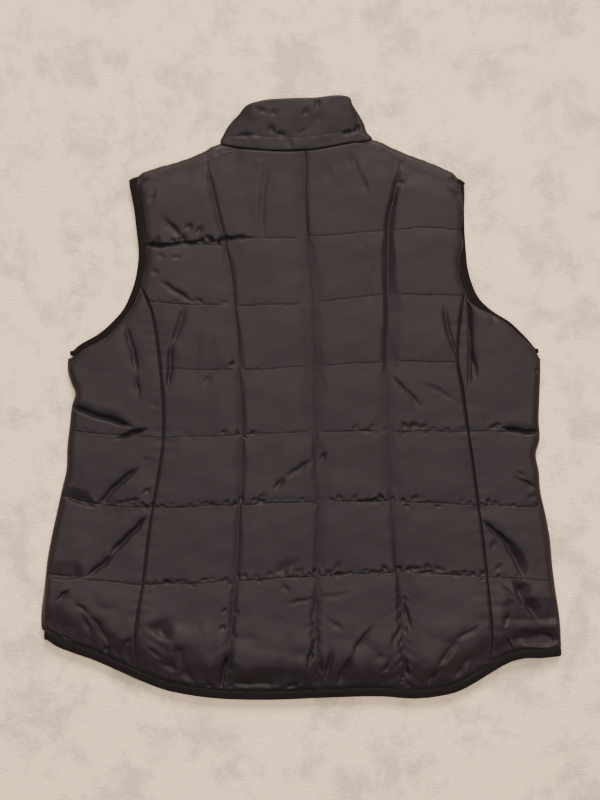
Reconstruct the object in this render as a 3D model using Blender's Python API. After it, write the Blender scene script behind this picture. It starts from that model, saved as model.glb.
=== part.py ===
"""A quilted vest, closed and laid out flat on its front, with its back up.

+X is to the right as it lies, +Y runs to the collar and +Z is up. Its front rests
on z = 0. Sizes are in millimetres here and become metres when a mesh is made.
"""
import math

import bmesh
import bpy
import numpy as np

for thing in list(bpy.data.objects):
    bpy.data.objects.remove(thing, do_unlink=True)

# ---------------------------------------------------------------- sizes, in mm
GAP = 0.3            # from a piece's edge to the seam it is sewn in
WALL = 3.0           # cloth, padding and lining where they are stitched down
LOFT = 6.4           # what the padding adds to WALL in the middle of a quilted square
LOFT_REACH = 30.0    # how far from a stitch line the padding reaches its full height
CLOTH = 1.2          # binding cloth, folded double
BINDING = 11.0       # how wide the bindings show
EDGE = 1.6           # from a binding's outer edge to the line it is folded round
TUCK = 3.4           # from a binding's outer edge to the panel's edge inside it
FRONT_TOP = 7.5      # inside of the front, which lies on its face
BACK_LOW = 7.8       # inside of the back, which lies on the front
BOUND_FRONT = 3.0    # middle of the front's wall inside a binding
BOUND_BACK = 9.3     # middle of the back's wall inside a binding
FOLD_Z = (BOUND_FRONT + BOUND_BACK) / 2
FOLD_R = (BOUND_BACK - BOUND_FRONT) / 2
PANEL_OPEN = 6.0     # half the distance between the two front edges
FRONT_WALL_Z = (BOUND_FRONT - WALL / 2, BOUND_FRONT + WALL / 2)
BACK_WALL_Z = (BOUND_BACK - WALL / 2, BOUND_BACK + WALL / 2)

TAPE_W, TAPE_T = 9.2, 0.8
CHAIN_W, CHAIN_T = 5.0, 2.2
TAPE_Z = 5.15
SLIDER = (8.0, 10.0)
PULL_W, PULL_L, PULL_T = 7.0, 26.0, 1.2
PULL_AXIS_Z = 1.45
PULL_AXIS_Y = 286.0

TURN = (32, 64, 90, 116, 148)  # degrees round a fold

# outlines as it lies, (x, y)
SIDE_LEFT = [(-308, -284), (-310, -267), (-307, -230), (-304, -196), (-299, -167), (-293, -139), (-287, -112),
             (-281, -85), (-280, -60), (-277, -32), (-274, -8), (-270.5, 4), (-275, 17), (-279.5, 32), (-279, 47)]
SIDE_RIGHT = [(309, -300), (307, -267), (301, -224), (298, -200), (295, -167), (290, -139), (284, -112),
              (282, -88), (278.5, -67), (283, -50), (282, -28), (283, 4), (284, 30), (284, 47)]
ARMHOLE_LEFT = [(-279, 50), (-266, 62), (-242, 76), (-225, 91), (-213, 105), (-206, 119), (-200, 136), (-196, 156),
                (-195, 176), (-197, 196), (-200, 222), (-204, 244), (-207.5, 259)]
ARMHOLE_RIGHT = [(284, 50), (275, 62), (263, 75), (247, 90), (225, 104), (210, 119), (202, 136), (197, 155),
                 (195, 176), (193.5, 196), (193, 222), (193.5, 244), (193, 257)]
HEM_BACK = [(-308, -286), (-293, -296), (-272, -304.5), (-250, -312), (-222, -324), (-193, -337), (-164, -348),
            (-136, -354), (-100, -358.5), (-40, -360), (40, -357), (93, -356), (135, -358.5), (164, -355.5),
            (186, -350), (207, -339), (228, -326), (246, -316), (264, -311), (285, -310.5), (308, -308)]
HEM_FRONT = [(-308, -286), (-290, -292), (-255, -300), (-200, -313), (-120, -322), (-40, -327), (-PANEL_OPEN, -328)]
HEM_FRONT_RIGHT = [(308, -308), (285, -308.5), (250, -309.5), (200, -314), (120, -322), (40, -327), (PANEL_OPEN, -328)]
# middles of the folds over the shoulders and down the collar's sides
SHOULDER_LEFT = [(-203.2, 255.0), (-190, 261.6), (-170, 268.6), (-148, 274.6), (-119.5, 285.3), (-94.7, 299.7)]
SHOULDER_RIGHT = [(190.3, 252.4), (178, 261.5), (165, 268), (148, 275), (120, 285.5), (98, 295.5), (80.7, 304.7)]
COLLAR_FOLD_LEFT = [(-94.7, 299.7), (-87.4, 313), (-80.8, 326), (-75, 336.5)]
COLLAR_FOLD_RIGHT = [(80.7, 304.7), (73, 312), (67.5, 326), (62.8, 339), (59.5, 348)]
COLLAR_TOP = [(-75, 336.5), (-67, 346.5), (-48, 353), (-20, 355.5), (15, 356.5), (48, 359), (56.5, 356.5), (59.5, 348)]
COLLAR_FRONT_TOP = [(-75, 336.5), (-55, 324), (-30, 306), (-PANEL_OPEN, 294)]
COLLAR_FRONT_TOP_RIGHT = [(59.5, 348), (48, 329), (30, 308), (PANEL_OPEN, 294)]
NECK_TURN_LEFT, NECK_TURN_RIGHT = (-0.70, 0.71), (0.70, 0.71)
NECK_FRONT = [(-94.7, 299.7), (-86, 276), (-66, 253), (-36, 236), (-PANEL_OPEN, 229)]
NECK_FRONT_RIGHT = [(80.7, 304.7), (76, 277), (60, 253), (34, 236), (PANEL_OPEN, 229)]

# seams, (y, x) where they run up the back and (x, y) where they cross it
SEAM_LEFT = [(-340, -192), (-312, -196), (-269, -195), (-213, -187), (-152, -180), (-105, -172), (-58, -165),
             (-11, -164), (46, -169), (102, -178), (130, -187), (146, -191.6), (158, -192.7),
             (176, -191.6), (196, -193.6), (222, -196.6), (250, -201.6)]
SEAM_RIGHT = [(-340, 225), (-293, 224), (-241, 221), (-180, 215), (-124, 208), (-72, 201), (-25, 194), (18, 188),
              (41, 183.5), (78, 185), (102, 187), (121, 191), (138, 193.6), (152, 193.4),
              (176, 191.6), (196, 190.1), (222, 189.6), (245, 189.7)]
NECK_BACK = [(-94.7, 299.7), (-68, 295), (-23, 292), (15, 294), (53, 301), (80.7, 304.7)]
YOKE_LEFT = [(-201.5, 248.6), (-169, 262.5), (-122, 277.5), (-100, 284), (-85, 289.5), (-70.6, 294.9)]
YOKE_RIGHT = [(189.9, 244.4), (165, 261), (145, 270), (120, 280), (98, 290), (80, 298), (62.5, 302.1)]

# quilting, (y, x) for the stitched lines up the back and (x, y) for those across it
UP = [[(-360, -91), (-293, -86), (-218, -79), (-128, -74), (-44, -71), (32, -75), (107, -80), (182, -91),
       (229, -103), (290, -115)],
      [(-360, 22), (-279, 16), (-213, 18), (-124, 19), (-41, 15), (36, 13), (112, 11), (187, 5), (300, 2)],
      [(-360, 121), (-340, 121), (-255, 118), (-199, 113), (-124, 107), (-44, 102), (41, 101), (121, 102),
       (187, 102), (220, 105), (290, 120)]]
ACROSS = {"F": [(-305, -209), (-244, -217), (-187, -222), (-82, -218), (22, -212), (114, -208), (217, -213), (300, -218)],
          "E": [(-292, -117), (-244, -127), (-178, -131), (-75, -128), (17, -124), (104, -124), (203, -128), (290, -131)],
          "D": [(-280, -40), (-220, -45), (-171, -48), (-72, -45), (15, -41), (104, -41), (194, -41), (284, -41)],
          "C": [(-171, 33), (-75, 32), (12, 36), (97, 41), (186, 41)],
          "B": [(-186, 112), (-79, 108), (10, 111), (100, 121), (194, 119)],
          "A": [(-197, 180), (-89, 182), (-70, 186), (5, 189), (104, 197), (147, 200), (196, 194)]}
COLLAR_ROW = 0.27    # where the collar's stitched row runs, as a share of its height

# the largest folds pressed into the back: ends (x, y), half width and depth
FOLDS = [(-267, -6, -206, -36, 8, 4.5), (-242, -128, -196, -84, 8, 3.0), (-253, -211, -185, -142, 9, 5.0),
         (-289, -241, -273, -222, 7, 2.5), (-270, -241, -230, -298, 8, 2.5), (217, -147, 260, -206, 8, 4.0),
         (260, -206, 281, -262, 10, 4.5), (224, -284, 248, -253, 7, 2.5), (236, -41, 283, -44, 6, 3.0),
         (-32, -107, 28, -65, 7, 3.0), (43, -340, 83, -269, 8, 3.5), (147, -340, 208, -269, 8, 3.0),
         (103, 250, 101, 60, 7, 1.5), (199, 112, 203, 40, 7, 3.5), (-91, -345, -88, -293, 7, 1.5)]


# ------------------------------------------------------------------- curves
def smooth(table):
    """A function through a table of (at, value) pairs."""
    t = sorted(table)
    a = np.array([p[0] for p in t], float)
    b = np.array([p[1] for p in t], float)
    s = np.diff(b) / np.diff(a)
    m = np.concatenate([[s[0]], (s[1:] + s[:-1]) / 2, [s[-1]]])

    def value(x):
        x = float(min(max(x, a[0]), a[-1]))
        i = int(min(max(np.searchsorted(a, x) - 1, 0), len(s) - 1))
        h = a[i + 1] - a[i]
        k = (x - a[i]) / h
        return ((2 * k**3 - 3 * k**2 + 1) * b[i] + (k**3 - 2 * k**2 + k) * h * m[i]
                + (-2 * k**3 + 3 * k**2) * b[i + 1] + (k**3 - k**2) * h * m[i + 1])
    return value


def path(points):
    """A smooth path through points, as a function of the share of its length."""
    p = np.array(points, float)
    run = np.concatenate([[0], np.cumsum(np.linalg.norm(np.diff(p, axis=0), axis=1))])
    fx, fy = smooth(list(zip(run, p[:, 0]))), smooth(list(zip(run, p[:, 1])))
    return lambda t: np.array([fx(t * run[-1]), fy(t * run[-1])])


def dense(curve, n=120):
    return np.array([curve(i / n) for i in range(n + 1)])


def distance(p, line):
    a, b = line[:-1], line[1:]
    d = b - a
    k = np.clip(((p - a) * d).sum(1) / np.maximum((d * d).sum(1), 1e-9), 0, 1)
    return float(np.sqrt((((a + d * k[:, None]) - p) ** 2).sum(1).min()))


def nearest_share(p, line):
    return int(((line - p) ** 2).sum(1).argmin()) / (len(line) - 1)


def inward(curve, t, side, reach=0.03):
    """Unit vector across a path, to its left for side 1 and its right for side -1."""
    d = curve(min(t + reach, 1)) - curve(max(t - reach, 0))
    d /= np.linalg.norm(d)
    return side * np.array([-d[1], d[0]])


def mix(a, b, k):
    return a * (1 - k) + b * k


def ramp(k):
    return min(max(k, 0.0), 1.0)


def loft(d, reach=LOFT_REACH):
    k = ramp(d / reach)
    return k * (2 - k)


def coons(low, high, left, right):
    """A patch between four edges, each a function from 0 to 1."""
    c00, c10, c01, c11 = low(0), low(1), high(0), high(1)

    def at(u, v):
        return (mix(low(u), high(u), v) + mix(left(v), right(v), u)
                - mix(mix(c00, c10, u), mix(c01, c11, u), v))
    return at


def straight(a, b):
    return lambda k: mix(np.array(a, float), np.array(b, float), k)


side_left, side_right = path(SIDE_LEFT), path(SIDE_RIGHT)
armhole_left, armhole_right = path(ARMHOLE_LEFT), path(ARMHOLE_RIGHT)
hem_back = path(HEM_BACK)
LINES = {"side_left": dense(side_left), "side_right": dense(side_right), "armhole_left": dense(armhole_left),
         "armhole_right": dense(armhole_right), "hem": dense(hem_back, 240)}
seam_left, seam_right = smooth(SEAM_LEFT), smooth(SEAM_RIGHT)
rows = {name: smooth(t) for name, t in ACROSS.items()}
ups = [smooth(t) for t in UP]
hem_y = smooth(HEM_BACK)


# ------------------------------------------------------------------- solids
def new_object(name, verts, faces, material, smooth_angle=40):
    mesh = bpy.data.meshes.new(name)
    mesh.from_pydata([tuple(float(c) * 0.001 for c in v) for v in verts], [], faces)
    bm = bmesh.new()
    bm.from_mesh(mesh)
    bmesh.ops.recalc_face_normals(bm, faces=bm.faces)
    bm.to_mesh(mesh)
    bm.free()
    mesh.shade_smooth()
    mesh.set_sharp_from_angle(angle=math.radians(smooth_angle))
    ob = bpy.data.objects.new(name, mesh)
    bpy.context.scene.collection.objects.link(ob)
    ob.data.materials.append(material)
    return ob


def material(name, colour, roughness, metallic=0.0):
    mat = bpy.data.materials.new(name)
    mat.use_nodes = True
    p = mat.node_tree.nodes["Principled BSDF"]
    p.inputs["Base Color"].default_value = (*colour, 1)
    p.inputs["Roughness"].default_value = roughness
    p.inputs["Metallic"].default_value = metallic
    return mat


def slab(name, outer, inner, mat, keep_rows=None, keep_cols=None):
    """A closed wall between two grids of points. Its inside is plainer than its outside:
    it keeps only the named lines, and every point round its edge."""
    nr, nc = len(outer), len(outer[0])
    kr = sorted(set(keep_rows if keep_rows is not None else range(nr)) | {0, nr - 1})
    kc = sorted(set(keep_cols if keep_cols is not None else range(nc)) | {0, nc - 1})
    verts, ids = [], {}

    def vid(layer, r, c):
        key = (layer, r, c)
        if key not in ids:
            ids[key] = len(verts)
            verts.append((outer if layer == "o" else inner)[r][c])
        return ids[key]
    faces = []
    for r in range(nr - 1):
        for c in range(nc - 1):
            faces.append([vid("o", r, c), vid("o", r, c + 1), vid("o", r + 1, c + 1), vid("o", r + 1, c)])
    for r0, r1 in zip(kr[:-1], kr[1:]):
        for c0, c1 in zip(kc[:-1], kc[1:]):
            f = [(r0, c) for c in (range(c0, c1) if r0 == 0 else [c0])]
            f += [(r, c1) for r in (range(r0, r1) if c1 == nc - 1 else [r0])]
            f += [(r1, c) for c in (range(c1, c0, -1) if r1 == nr - 1 else [c1])]
            f += [(r, c0) for r in (range(r1, r0, -1) if c0 == 0 else [r1])]
            faces.append([vid("i", r, c) for r, c in reversed(f)])
    ring = ([(0, c) for c in range(nc)] + [(r, nc - 1) for r in range(1, nr)]
            + [(nr - 1, c) for c in range(nc - 2, -1, -1)] + [(r, 0) for r in range(nr - 2, 0, -1)])
    for a, b in zip(ring, ring[1:] + ring[:1]):
        faces.append([vid("o", *b), vid("o", *a), vid("i", *a), vid("i", *b)])
    return new_object(name, verts, faces, mat)


def sweep(name, frames, section, mat, closed):
    """A section carried along frames of (point, across, out)."""
    verts, faces = [], []
    n, m = len(frames), len(section)
    for p, across, out in frames:
        for d, h in section:
            verts.append(p + across * d + out * h)
    for i in range(n if closed else n - 1):
        j = (i + 1) % n
        for k in range(m):
            l = (k + 1) % m
            faces.append([i * m + k, i * m + l, j * m + l, j * m + k])
    if not closed:
        faces.append(list(range(m)))
        faces.append([(n - 1) * m + k for k in reversed(range(m))])
    return new_object(name, verts, faces, mat)


SHELL = material("shell_cloth", (0.050, 0.041, 0.041), 0.62)
BIND = material("binding_cloth", (0.022, 0.018, 0.019), 0.75)
TAPE = material("zip_tape", (0.020, 0.018, 0.018), 0.85)
TEETH = material("zip_teeth", (0.025, 0.023, 0.024), 0.35)
METAL = material("zip_metal", (0.05, 0.048, 0.048), 0.35, 0.9)


# ------------------------------------------------------------------- heights
def fold_drop(x, y):
    """How far the large pressed folds sink the back at a point."""
    drop = 0.0
    for x0, y0, x1, y1, half, depth in FOLDS:
        a, b = np.array([x0, y0], float), np.array([x1, y1], float)
        p = np.array([x, y], float)
        k = float(((p - a) @ (b - a)) / ((b - a) @ (b - a)))
        off = np.linalg.norm(p - (a + (b - a) * ramp(k))) / half
        if off < 1:
            drop = max(drop, depth * (1 - off * off) ** 2)
    return drop


def back_heights(p, side, across_rows, up_lines, edge_y=None, outer_side=None, tucked=False):
    """Inside and outside height of the back at p."""
    x, y = p
    near_row = min([abs(y - rows[r](x)) for r in across_rows] + ([abs(y - edge_y(x))] if edge_y else []))
    near_up = min(abs(x - u(y)) for u in up_lines)
    arm = distance(p, LINES["armhole_" + side]) if side else 1e3
    hem = distance(p, LINES["hem"])
    if tucked or min(arm, hem) < BINDING + 1.5:
        return BACK_WALL_Z
    puff = LOFT * loft(near_row) * loft(near_up) * loft(max(min(arm - 6, hem) - BINDING - 1.5, 0), 20)
    high = max(BACK_WALL_Z[1] + puff - fold_drop(x, y), BACK_LOW + 2.2)
    low = BACK_LOW
    if outer_side is not None:
        k = ramp(distance(p, LINES[outer_side]) / (BINDING + 0.9))
        low = FOLD_Z + GAP / 2 + (BACK_LOW - FOLD_Z - GAP / 2) * k
        edge = FOLD_Z + GAP / 2 + WALL / 2
        high = edge + (high - edge) * math.sqrt(1 - (1 - k) ** 2)
    return low, high


def lift(grid, heights):
    low = [[None] * len(grid[0]) for _ in grid]
    high = [[None] * len(grid[0]) for _ in grid]
    for r, line in enumerate(grid):
        for c, p in enumerate(line):
            a, b = heights(p, r, c)
            low[r][c], high[r][c] = np.array([*p, a]), np.array([*p, b])
    return low, high


def hem_in(x, d, table=hem_y):
    slope = (table(x + 2) - table(x - 2)) / 4
    return table(x) + d * math.sqrt(1 + slope * slope)


# --------------------------------------------------------------- back, centre
top_edge_at = smooth([(-203.3, 247.6), (-169, 262.2), (-122, 277.2), (-100, 283.7), (-85, 289.1), (-71, 294.2),
                   (-64, 294.0), (-23, 291.6), (15, 293.6), (53, 300.5), (63, 301.6), (80, 297.7),
                   (98, 289.7), (120, 279.7), (145, 269.7), (165, 260.7), (191.5, 242.6)])
TOP_EDGE = lambda x: top_edge_at(x) - 0.5
HEM_LINES = [lambda x: hem_in(x, TUCK), lambda x: hem_in(x, BINDING + 1.2), lambda x: hem_in(x, BINDING + 2.8)]


def crossing(col, row, y):
    for _ in range(60):
        x = col(y)
        y = row(x)
    return np.array([x, y])


def along_row(row, a, b):
    def at(u):
        x = a[0] + (b[0] - a[0]) * u
        base = row(x)
        return np.array([x, base + mix(a[1] - row(a[0]), b[1] - row(b[0]), u)])
    return at


def up_col(col, a, b):
    def at(v):
        y = a[1] + (b[1] - a[1]) * v
        return np.array([col(y) + mix(a[0] - col(a[1]), b[0] - col(b[1]), v), y])
    return at


def back_centre():
    left = lambda y: seam_left(y) + GAP
    right = lambda y: seam_right(y) - GAP
    cols = [left] + ups + [right]
    lines = HEM_LINES + [rows[k] for k in "FEDCBA"] + [TOP_EDGE]
    guess = [-330, -320, -318, -215, -125, -43, 37, 114, 187, 280]
    knots = [[crossing(c, l, g) for c in cols] for l, g in zip(lines, guess)]
    bands = [(0,), (0,), (0, 0.10, 0.24, 0.42, 0.62, 0.84)] + [(0, 0.14, 0.38, 0.64, 0.88)] * 6 + [(0,)]
    strips = [(0, None, 0.13, 0.32, 0.55, 0.80), (0, 0.14, 0.38, 0.62, 0.86), (0, 0.14, 0.38, 0.62, 0.86),
              (0, 0.20, 0.45, 0.68, 0.87, None)]
    grid, kept = [], []
    for i, band in enumerate(bands):
        for v in band:
            line = []
            for j, strip in enumerate(strips):
                if i < len(knots) - 1:
                    k = knots[i][j], knots[i][j + 1], knots[i + 1][j], knots[i + 1][j + 1]
                    patch = coons(along_row(lines[i], k[0], k[1]), along_row(lines[i + 1], k[2], k[3]),
                                  up_col(cols[j], k[0], k[2]), up_col(cols[j + 1], k[1], k[3]))
                else:
                    edge = along_row(lines[i], knots[i][j], knots[i][j + 1])
                    patch = lambda u, v, edge=edge: edge(u)
                wide = np.linalg.norm(patch(1, v) - patch(0, v))
                for n, u in enumerate(strip):
                    if u is None:
                        u = (BINDING - 0.6) / wide if n == 1 else 1 - (BINDING - 0.6) / wide
                    line.append(patch(u, v))
                if j == len(strips) - 1:
                    line.append(patch(1, v))
            if v in (0, 0.42, 0.38, 0.64, 0.84):
                kept.append(len(grid))
            grid.append(line)

    def heights(p, r, c):
        side = "left" if p[0] < 0 else "right"
        return back_heights(p, side, "FEDCBA", [seam_left, seam_right] + ups, TOP_EDGE)
    low, high = lift(grid, heights)
    cols_kept = [0, 1, 3, 5, 6, 8, 11, 13, 16, 18, 20, len(grid[0]) - 2]
    return slab("back_centre", high, low, SHELL, kept, cols_kept)


# ---------------------------------------------------------------- back, sides
def arm_in(curve, t, d, turn):
    return curve(t) + inward(curve, t, turn) * d


def share_at_y(curve, y):
    a, b = 0.0, 1.0
    for _ in range(50):
        m = (a + b) / 2
        a, b = (m, b) if curve(m)[1] < y else (a, m)
    return a


def share_at_x(curve, x, falls):
    a, b = 0.0, 1.0
    for _ in range(50):
        m = (a + b) / 2
        a, b = (m, b) if (curve(m)[0] < x) != falls else (a, m)
    return a


def armhole_facts(side):
    """For one armhole: its curve, which way is in, where the underarm and shoulder folds start."""
    if side == "left":
        curve, turn, x_turn, y_turn = armhole_left, -1, SIDE_LEFT[-1][0] + FOLD_Z, 254.5
        t0 = share_at_x(curve, x_turn, False)
    else:
        curve, turn, x_turn, y_turn = armhole_right, 1, SIDE_RIGHT[-1][0] - FOLD_Z, 251.2
        t0 = share_at_x(curve, x_turn, True)
    t1 = share_at_y(curve, y_turn)
    return curve, turn, t0, t1


def side_x(side):
    return smooth([(y, x) for x, y in (SIDE_LEFT if side == "left" else SIDE_RIGHT)])


def seam_meets(curve, seam, d, line):
    """Height at which a seam comes within d of the armhole's edge."""
    y = 60.0
    while distance(np.array([seam(y), y]), line) > d and y < 175:
        y += 0.25
    return y


def back_side(side):
    sgn = -1 if side == "left" else 1
    seam = seam_left if side == "left" else seam_right
    edge_x = side_x(side)
    seam_in = lambda y: seam(y) + sgn * GAP
    curve, turn, t0, t1 = armhole_facts(side)
    line = LINES["armhole_" + side]
    inset = FOLD_Z + GAP
    y_corner = -284 if side == "left" else -303
    x_fold = edge_x(y_corner) - sgn * inset

    def hem_row(k, start_x):
        low = HEM_LINES[k]
        end = crossing(seam_in, low, -325)
        return along_row(low, np.array([start_x, low(start_x)]), end)
    h0, h1 = hem_row(0, x_fold), hem_row(1, x_fold)
    start = edge_x(HEM_LINES[2](edge_x(y_corner)))
    h2 = hem_row(2, start)
    cross = []
    for name in "FED":
        a = crossing(edge_x, rows[name], rows[name](edge_x(0)))
        b = crossing(seam_in, rows[name], rows[name](seam(0)))
        cross.append(along_row(rows[name], a, b))

    y_apex = 156.5 if side == "left" else 152.0
    t_apex = share_at_y(curve, y_apex)

    def top_row(d, first):
        y_end = seam_meets(curve, seam, d, line)
        end = np.array([seam_in(y_end), y_end])
        t_end = nearest_share(end, line)
        mid = [arm_in(curve, t0 + (t_end - t0) * k, d, turn) for k in (0.10, 0.25, 0.42, 0.6, 0.8)]
        pts = [first] + [m for m in mid if abs(m[0]) > abs(end[0]) + 4] + [end]
        return path(pts)
    y_full = 36.6
    t2 = top_row(BINDING + 2.8, np.array([edge_x(y_full), y_full]))
    t1r = top_row(BINDING + 1.2, np.array([edge_x(y_full) - sgn * inset, y_full + 2.4]))
    t0r = lambda u: arm_in(curve, t0 + (t_apex - t0) * u, TUCK, turn)
    edge = [h0, h1, h2] + cross + [t2, t1r, t0r]
    fractions = [(0,), (0,), (0, 0.12, 0.3, 0.55, 0.82)] + [(0, 0.14, 0.38, 0.64, 0.88)] * 3 + [(0,), (0,), (0,)]
    us = (0, 0.018, 0.055, 0.11, 0.30, 0.52, 0.74, 0.90, 1)
    grid, kept = [], []
    for i, band in enumerate(fractions):
        for v in band:
            if i == len(edge) - 1:
                patch = lambda u, v, e=edge[i]: e(u)
            elif i in (2, 3, 4, 5):
                patch = coons(edge[i], edge[i + 1], up_col(edge_x, edge[i](0), edge[i + 1](0)),
                              up_col(seam_in, edge[i](1), edge[i + 1](1)))
            else:
                patch = coons(edge[i], edge[i + 1], straight(edge[i](0), edge[i + 1](0)),
                              straight(edge[i](1), edge[i + 1](1)))
            if v in (0, 0.3, 0.38, 0.64, 0.82):
                kept.append(len(grid))
            grid.append([patch(u, v) for u in us])

    def heights(p, r, c):
        return back_heights(p, side, "FED", [seam], None, "side_" + side, r < 2 or r >= len(grid) - 2)
    low, high = lift(grid, heights)
    return slab("back_side_" + side, high, low, SHELL, kept, [0, 3, 4, 6, 8])



# ------------------------------------------------------------------- fronts
FRONT_KNOTS = (0, 0.032, 0.046, 0.95, 1)
FRONT_US = (0, 0.0065, 0.018, 0.032, 0.046, 0.17, 0.28, 0.36, 0.46, 0.58, 0.68, 0.80, 0.95, 1)
FRONT_UP = (0.36, 0.68)
FRONT_CF = 9.0       # the flat strip beside the zip, where its tape is sewn
NECK_KNOTS = (1, 0.85, 0.65, 0.43, 0.2)


def through(points, knots=FRONT_KNOTS):
    p = np.array(points, float)
    return lambda u: np.array([np.interp(u, knots, p[:, 0]), np.interp(u, knots, p[:, 1])])


def spread(curve, first, last, knots=FRONT_KNOTS):
    """A curve whose first and last stretches have set lengths at the knots."""
    length = np.linalg.norm(np.diff(dense(curve), axis=0), axis=1).sum()
    shares = [0, first[0] / length, first[1] / length, 1 - last / length, 1]
    return lambda u: curve(float(np.interp(u, knots, shares)))


def front(side):
    sgn = -1 if side == "left" else 1
    edge_x = side_x(side)
    curve, turn, t0, t1 = armhole_facts(side)
    arm_line = LINES["armhole_" + side]
    hem = smooth(HEM_FRONT if side == "left" else HEM_FRONT_RIGHT)
    neck = path(NECK_FRONT if side == "left" else NECK_FRONT_RIGHT)
    neck_line = dense(neck)
    shoulder = path(SHOULDER_LEFT if side == "left" else SHOULDER_RIGHT)
    yoke = path(YOKE_LEFT if side == "left" else YOKE_RIGHT)
    cf = sgn * PANEL_OPEN
    inset = FOLD_Z + GAP
    y_corner = -284 if side == "left" else -303
    hem_line = np.array([[x, hem(x)] for x in np.linspace(*sorted((sgn * 308.0, cf)), 160)])

    def hem_row(d, start):
        xs = [start, start - sgn * 9, start - sgn * 14, cf - (-sgn) * FRONT_CF, cf]

        def at(u):
            x = float(np.interp(u, FRONT_KNOTS, xs))
            return np.array([x, hem_in(x, d, hem)])
        return at

    def cross_row(y_side, y_cf, start=None, low=None):
        x0 = edge_x(y_side) if start is None else start
        a, b = (12, 17)
        down = 0 if low is None else low
        return through([(x0, y_side), (x0 - sgn * a, y_side - down), (x0 - sgn * b, y_side - down),
                        (cf + sgn * FRONT_CF, y_cf), (cf, y_cf)])

    def arm_row(t, y_cf, last=None):
        end = np.array([cf, y_cf]) if last is None else last
        near = end + np.array([sgn * FRONT_CF, 0.0]) if last is None else neck_step(end)
        return through([arm_in(curve, t, TUCK, turn), arm_in(curve, t, BINDING + 1.2, turn),
                        arm_in(curve, t, BINDING + 5.5, turn), near, end])

    def neck_step(end):
        t = nearest_share(end, neck_line)
        if t > 0.99:
            return end + np.array([sgn * FRONT_CF, -5.0])
        return end + inward(neck, t, 1 if side == "right" else -1) * FRONT_CF

    x_fold = edge_x(y_corner) - sgn * inset
    y_full = 36.6
    lines = [hem_row(TUCK, x_fold), hem_row(BINDING + 1.8, x_fold)]
    start = edge_x(hem_in(edge_x(y_corner), BINDING + 3.4, hem))
    lines.append(hem_row(BINDING + 3.4, start))
    y_side = {"F": -211, "E": -118, "D": -41}
    for name, y_cf in (("F", -214), ("E", -126), ("D", -43)):
        lines.append(cross_row(y_side[name], y_cf))
    lines.append(cross_row(y_full, 38, None, 4))
    lines.append(cross_row(y_full + 2.4, 41, edge_x(y_full) - sgn * inset, 4))
    corner = arm_in(curve, t0, TUCK, turn)
    lines.append(through([corner, corner + np.array([-sgn * 9.2, -9.0]), corner + np.array([-sgn * 13.5, -11.5]),
                          (cf + sgn * FRONT_CF, 54), (cf, 54)]))
    for share, y_cf in ((0.13, 74), (0.24, 96), (0.36, 117), (0.48, 142), (0.59, 168), (0.69, 198)):
        lines.append(arm_row(t0 + (t1 - t0) * share, y_cf))
    for share, at in ((0.77, NECK_KNOTS[0]), (0.83, NECK_KNOTS[1]), (0.88, NECK_KNOTS[2]), (0.93, NECK_KNOTS[3]),
                      (0.97, NECK_KNOTS[4])):
        lines.append(arm_row(t0 + (t1 - t0) * share, 0, neck(at)))
    us = FRONT_US
    fold_row = spread(shoulder, (BINDING - 0.6, BINDING + 4), FRONT_CF)
    lines.append(fold_row)
    fractions = ([(0,), (0,), (0, 0.14, 0.4, 0.75)] + [(0, 0.16, 0.5, 0.84)] * 3 + [(0,)] * (len(lines) - 7) + [(0,)])
    grid, kept, flat = [], [], []
    for i, band in enumerate(fractions):
        for v in band:
            if i == len(lines) - 1:
                patch = lambda u, v, e=lines[i]: e(u)
            elif i in (2, 3, 4, 5):
                patch = coons(lines[i], lines[i + 1], up_col(edge_x, lines[i](0), lines[i + 1](0)),
                              straight(lines[i](1), lines[i + 1](1)))
            else:
                patch = coons(lines[i], lines[i + 1], straight(lines[i](0), lines[i + 1](0)),
                              straight(lines[i](1), lines[i + 1](1)))
            if v in (0, 0.5):
                kept.append(len(grid))
            grid.append([patch(u, v) for u in us])
            flat.append((i, v))
    row_y = [smooth([(sgn * 310.0, a), (cf, b)]) for a, b in
             ((-211, -214), (-118, -126), (-41, -43), (37, 40), (112, 114), (183, 186))]
    shoulder_line = dense(shoulder)

    def heights(p, r, c):
        i = flat[r][0]
        bound = min(distance(p, arm_line), distance(p, hem_line)) - BINDING - 2.5
        if bound <= -1 or i < 2 or (i > 6 and c < 4):
            return FRONT_WALL_Z
        bound = max(bound, 0)
        by_cf = abs(p[0]) - PANEL_OPEN - FRONT_CF + 0.6
        by_neck = distance(p, neck_line)
        by_fold = distance(p, shoulder_line)
        rise = min(ramp(bound / 10), ramp(by_cf / 9), ramp((by_neck - 2) / 12), ramp(by_fold / 14))
        drop = min(ramp(bound / 4), ramp(by_cf / 7), ramp((by_neck - 1) / 9))
        inner = FRONT_WALL_Z[1] + (FRONT_TOP - FRONT_WALL_Z[1]) * rise
        outer = FRONT_WALL_Z[0] * (1 - drop)
        wide = np.linalg.norm(grid[r][-1] - grid[r][0])
        stitch = min([abs(us[c] - k) * wide for k in FRONT_UP] + [abs(p[1] - f(p[0])) for f in row_y])
        if by_fold > 9:
            outer += (inner - WALL - outer) * (1 - loft(stitch, 13))
        by_side = distance(p, LINES["side_" + side])
        k = ramp(by_side / (BINDING + 0.9))
        top, low = FOLD_Z - GAP / 2, FOLD_Z - GAP / 2 - WALL / 2
        return (low - (low - outer) * math.sqrt(1 - (1 - k) ** 2),
                top + (inner - top) * ramp(by_side / (2 * BINDING)))
    low, high = lift(grid, heights)
    outer, inner = low, high
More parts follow.
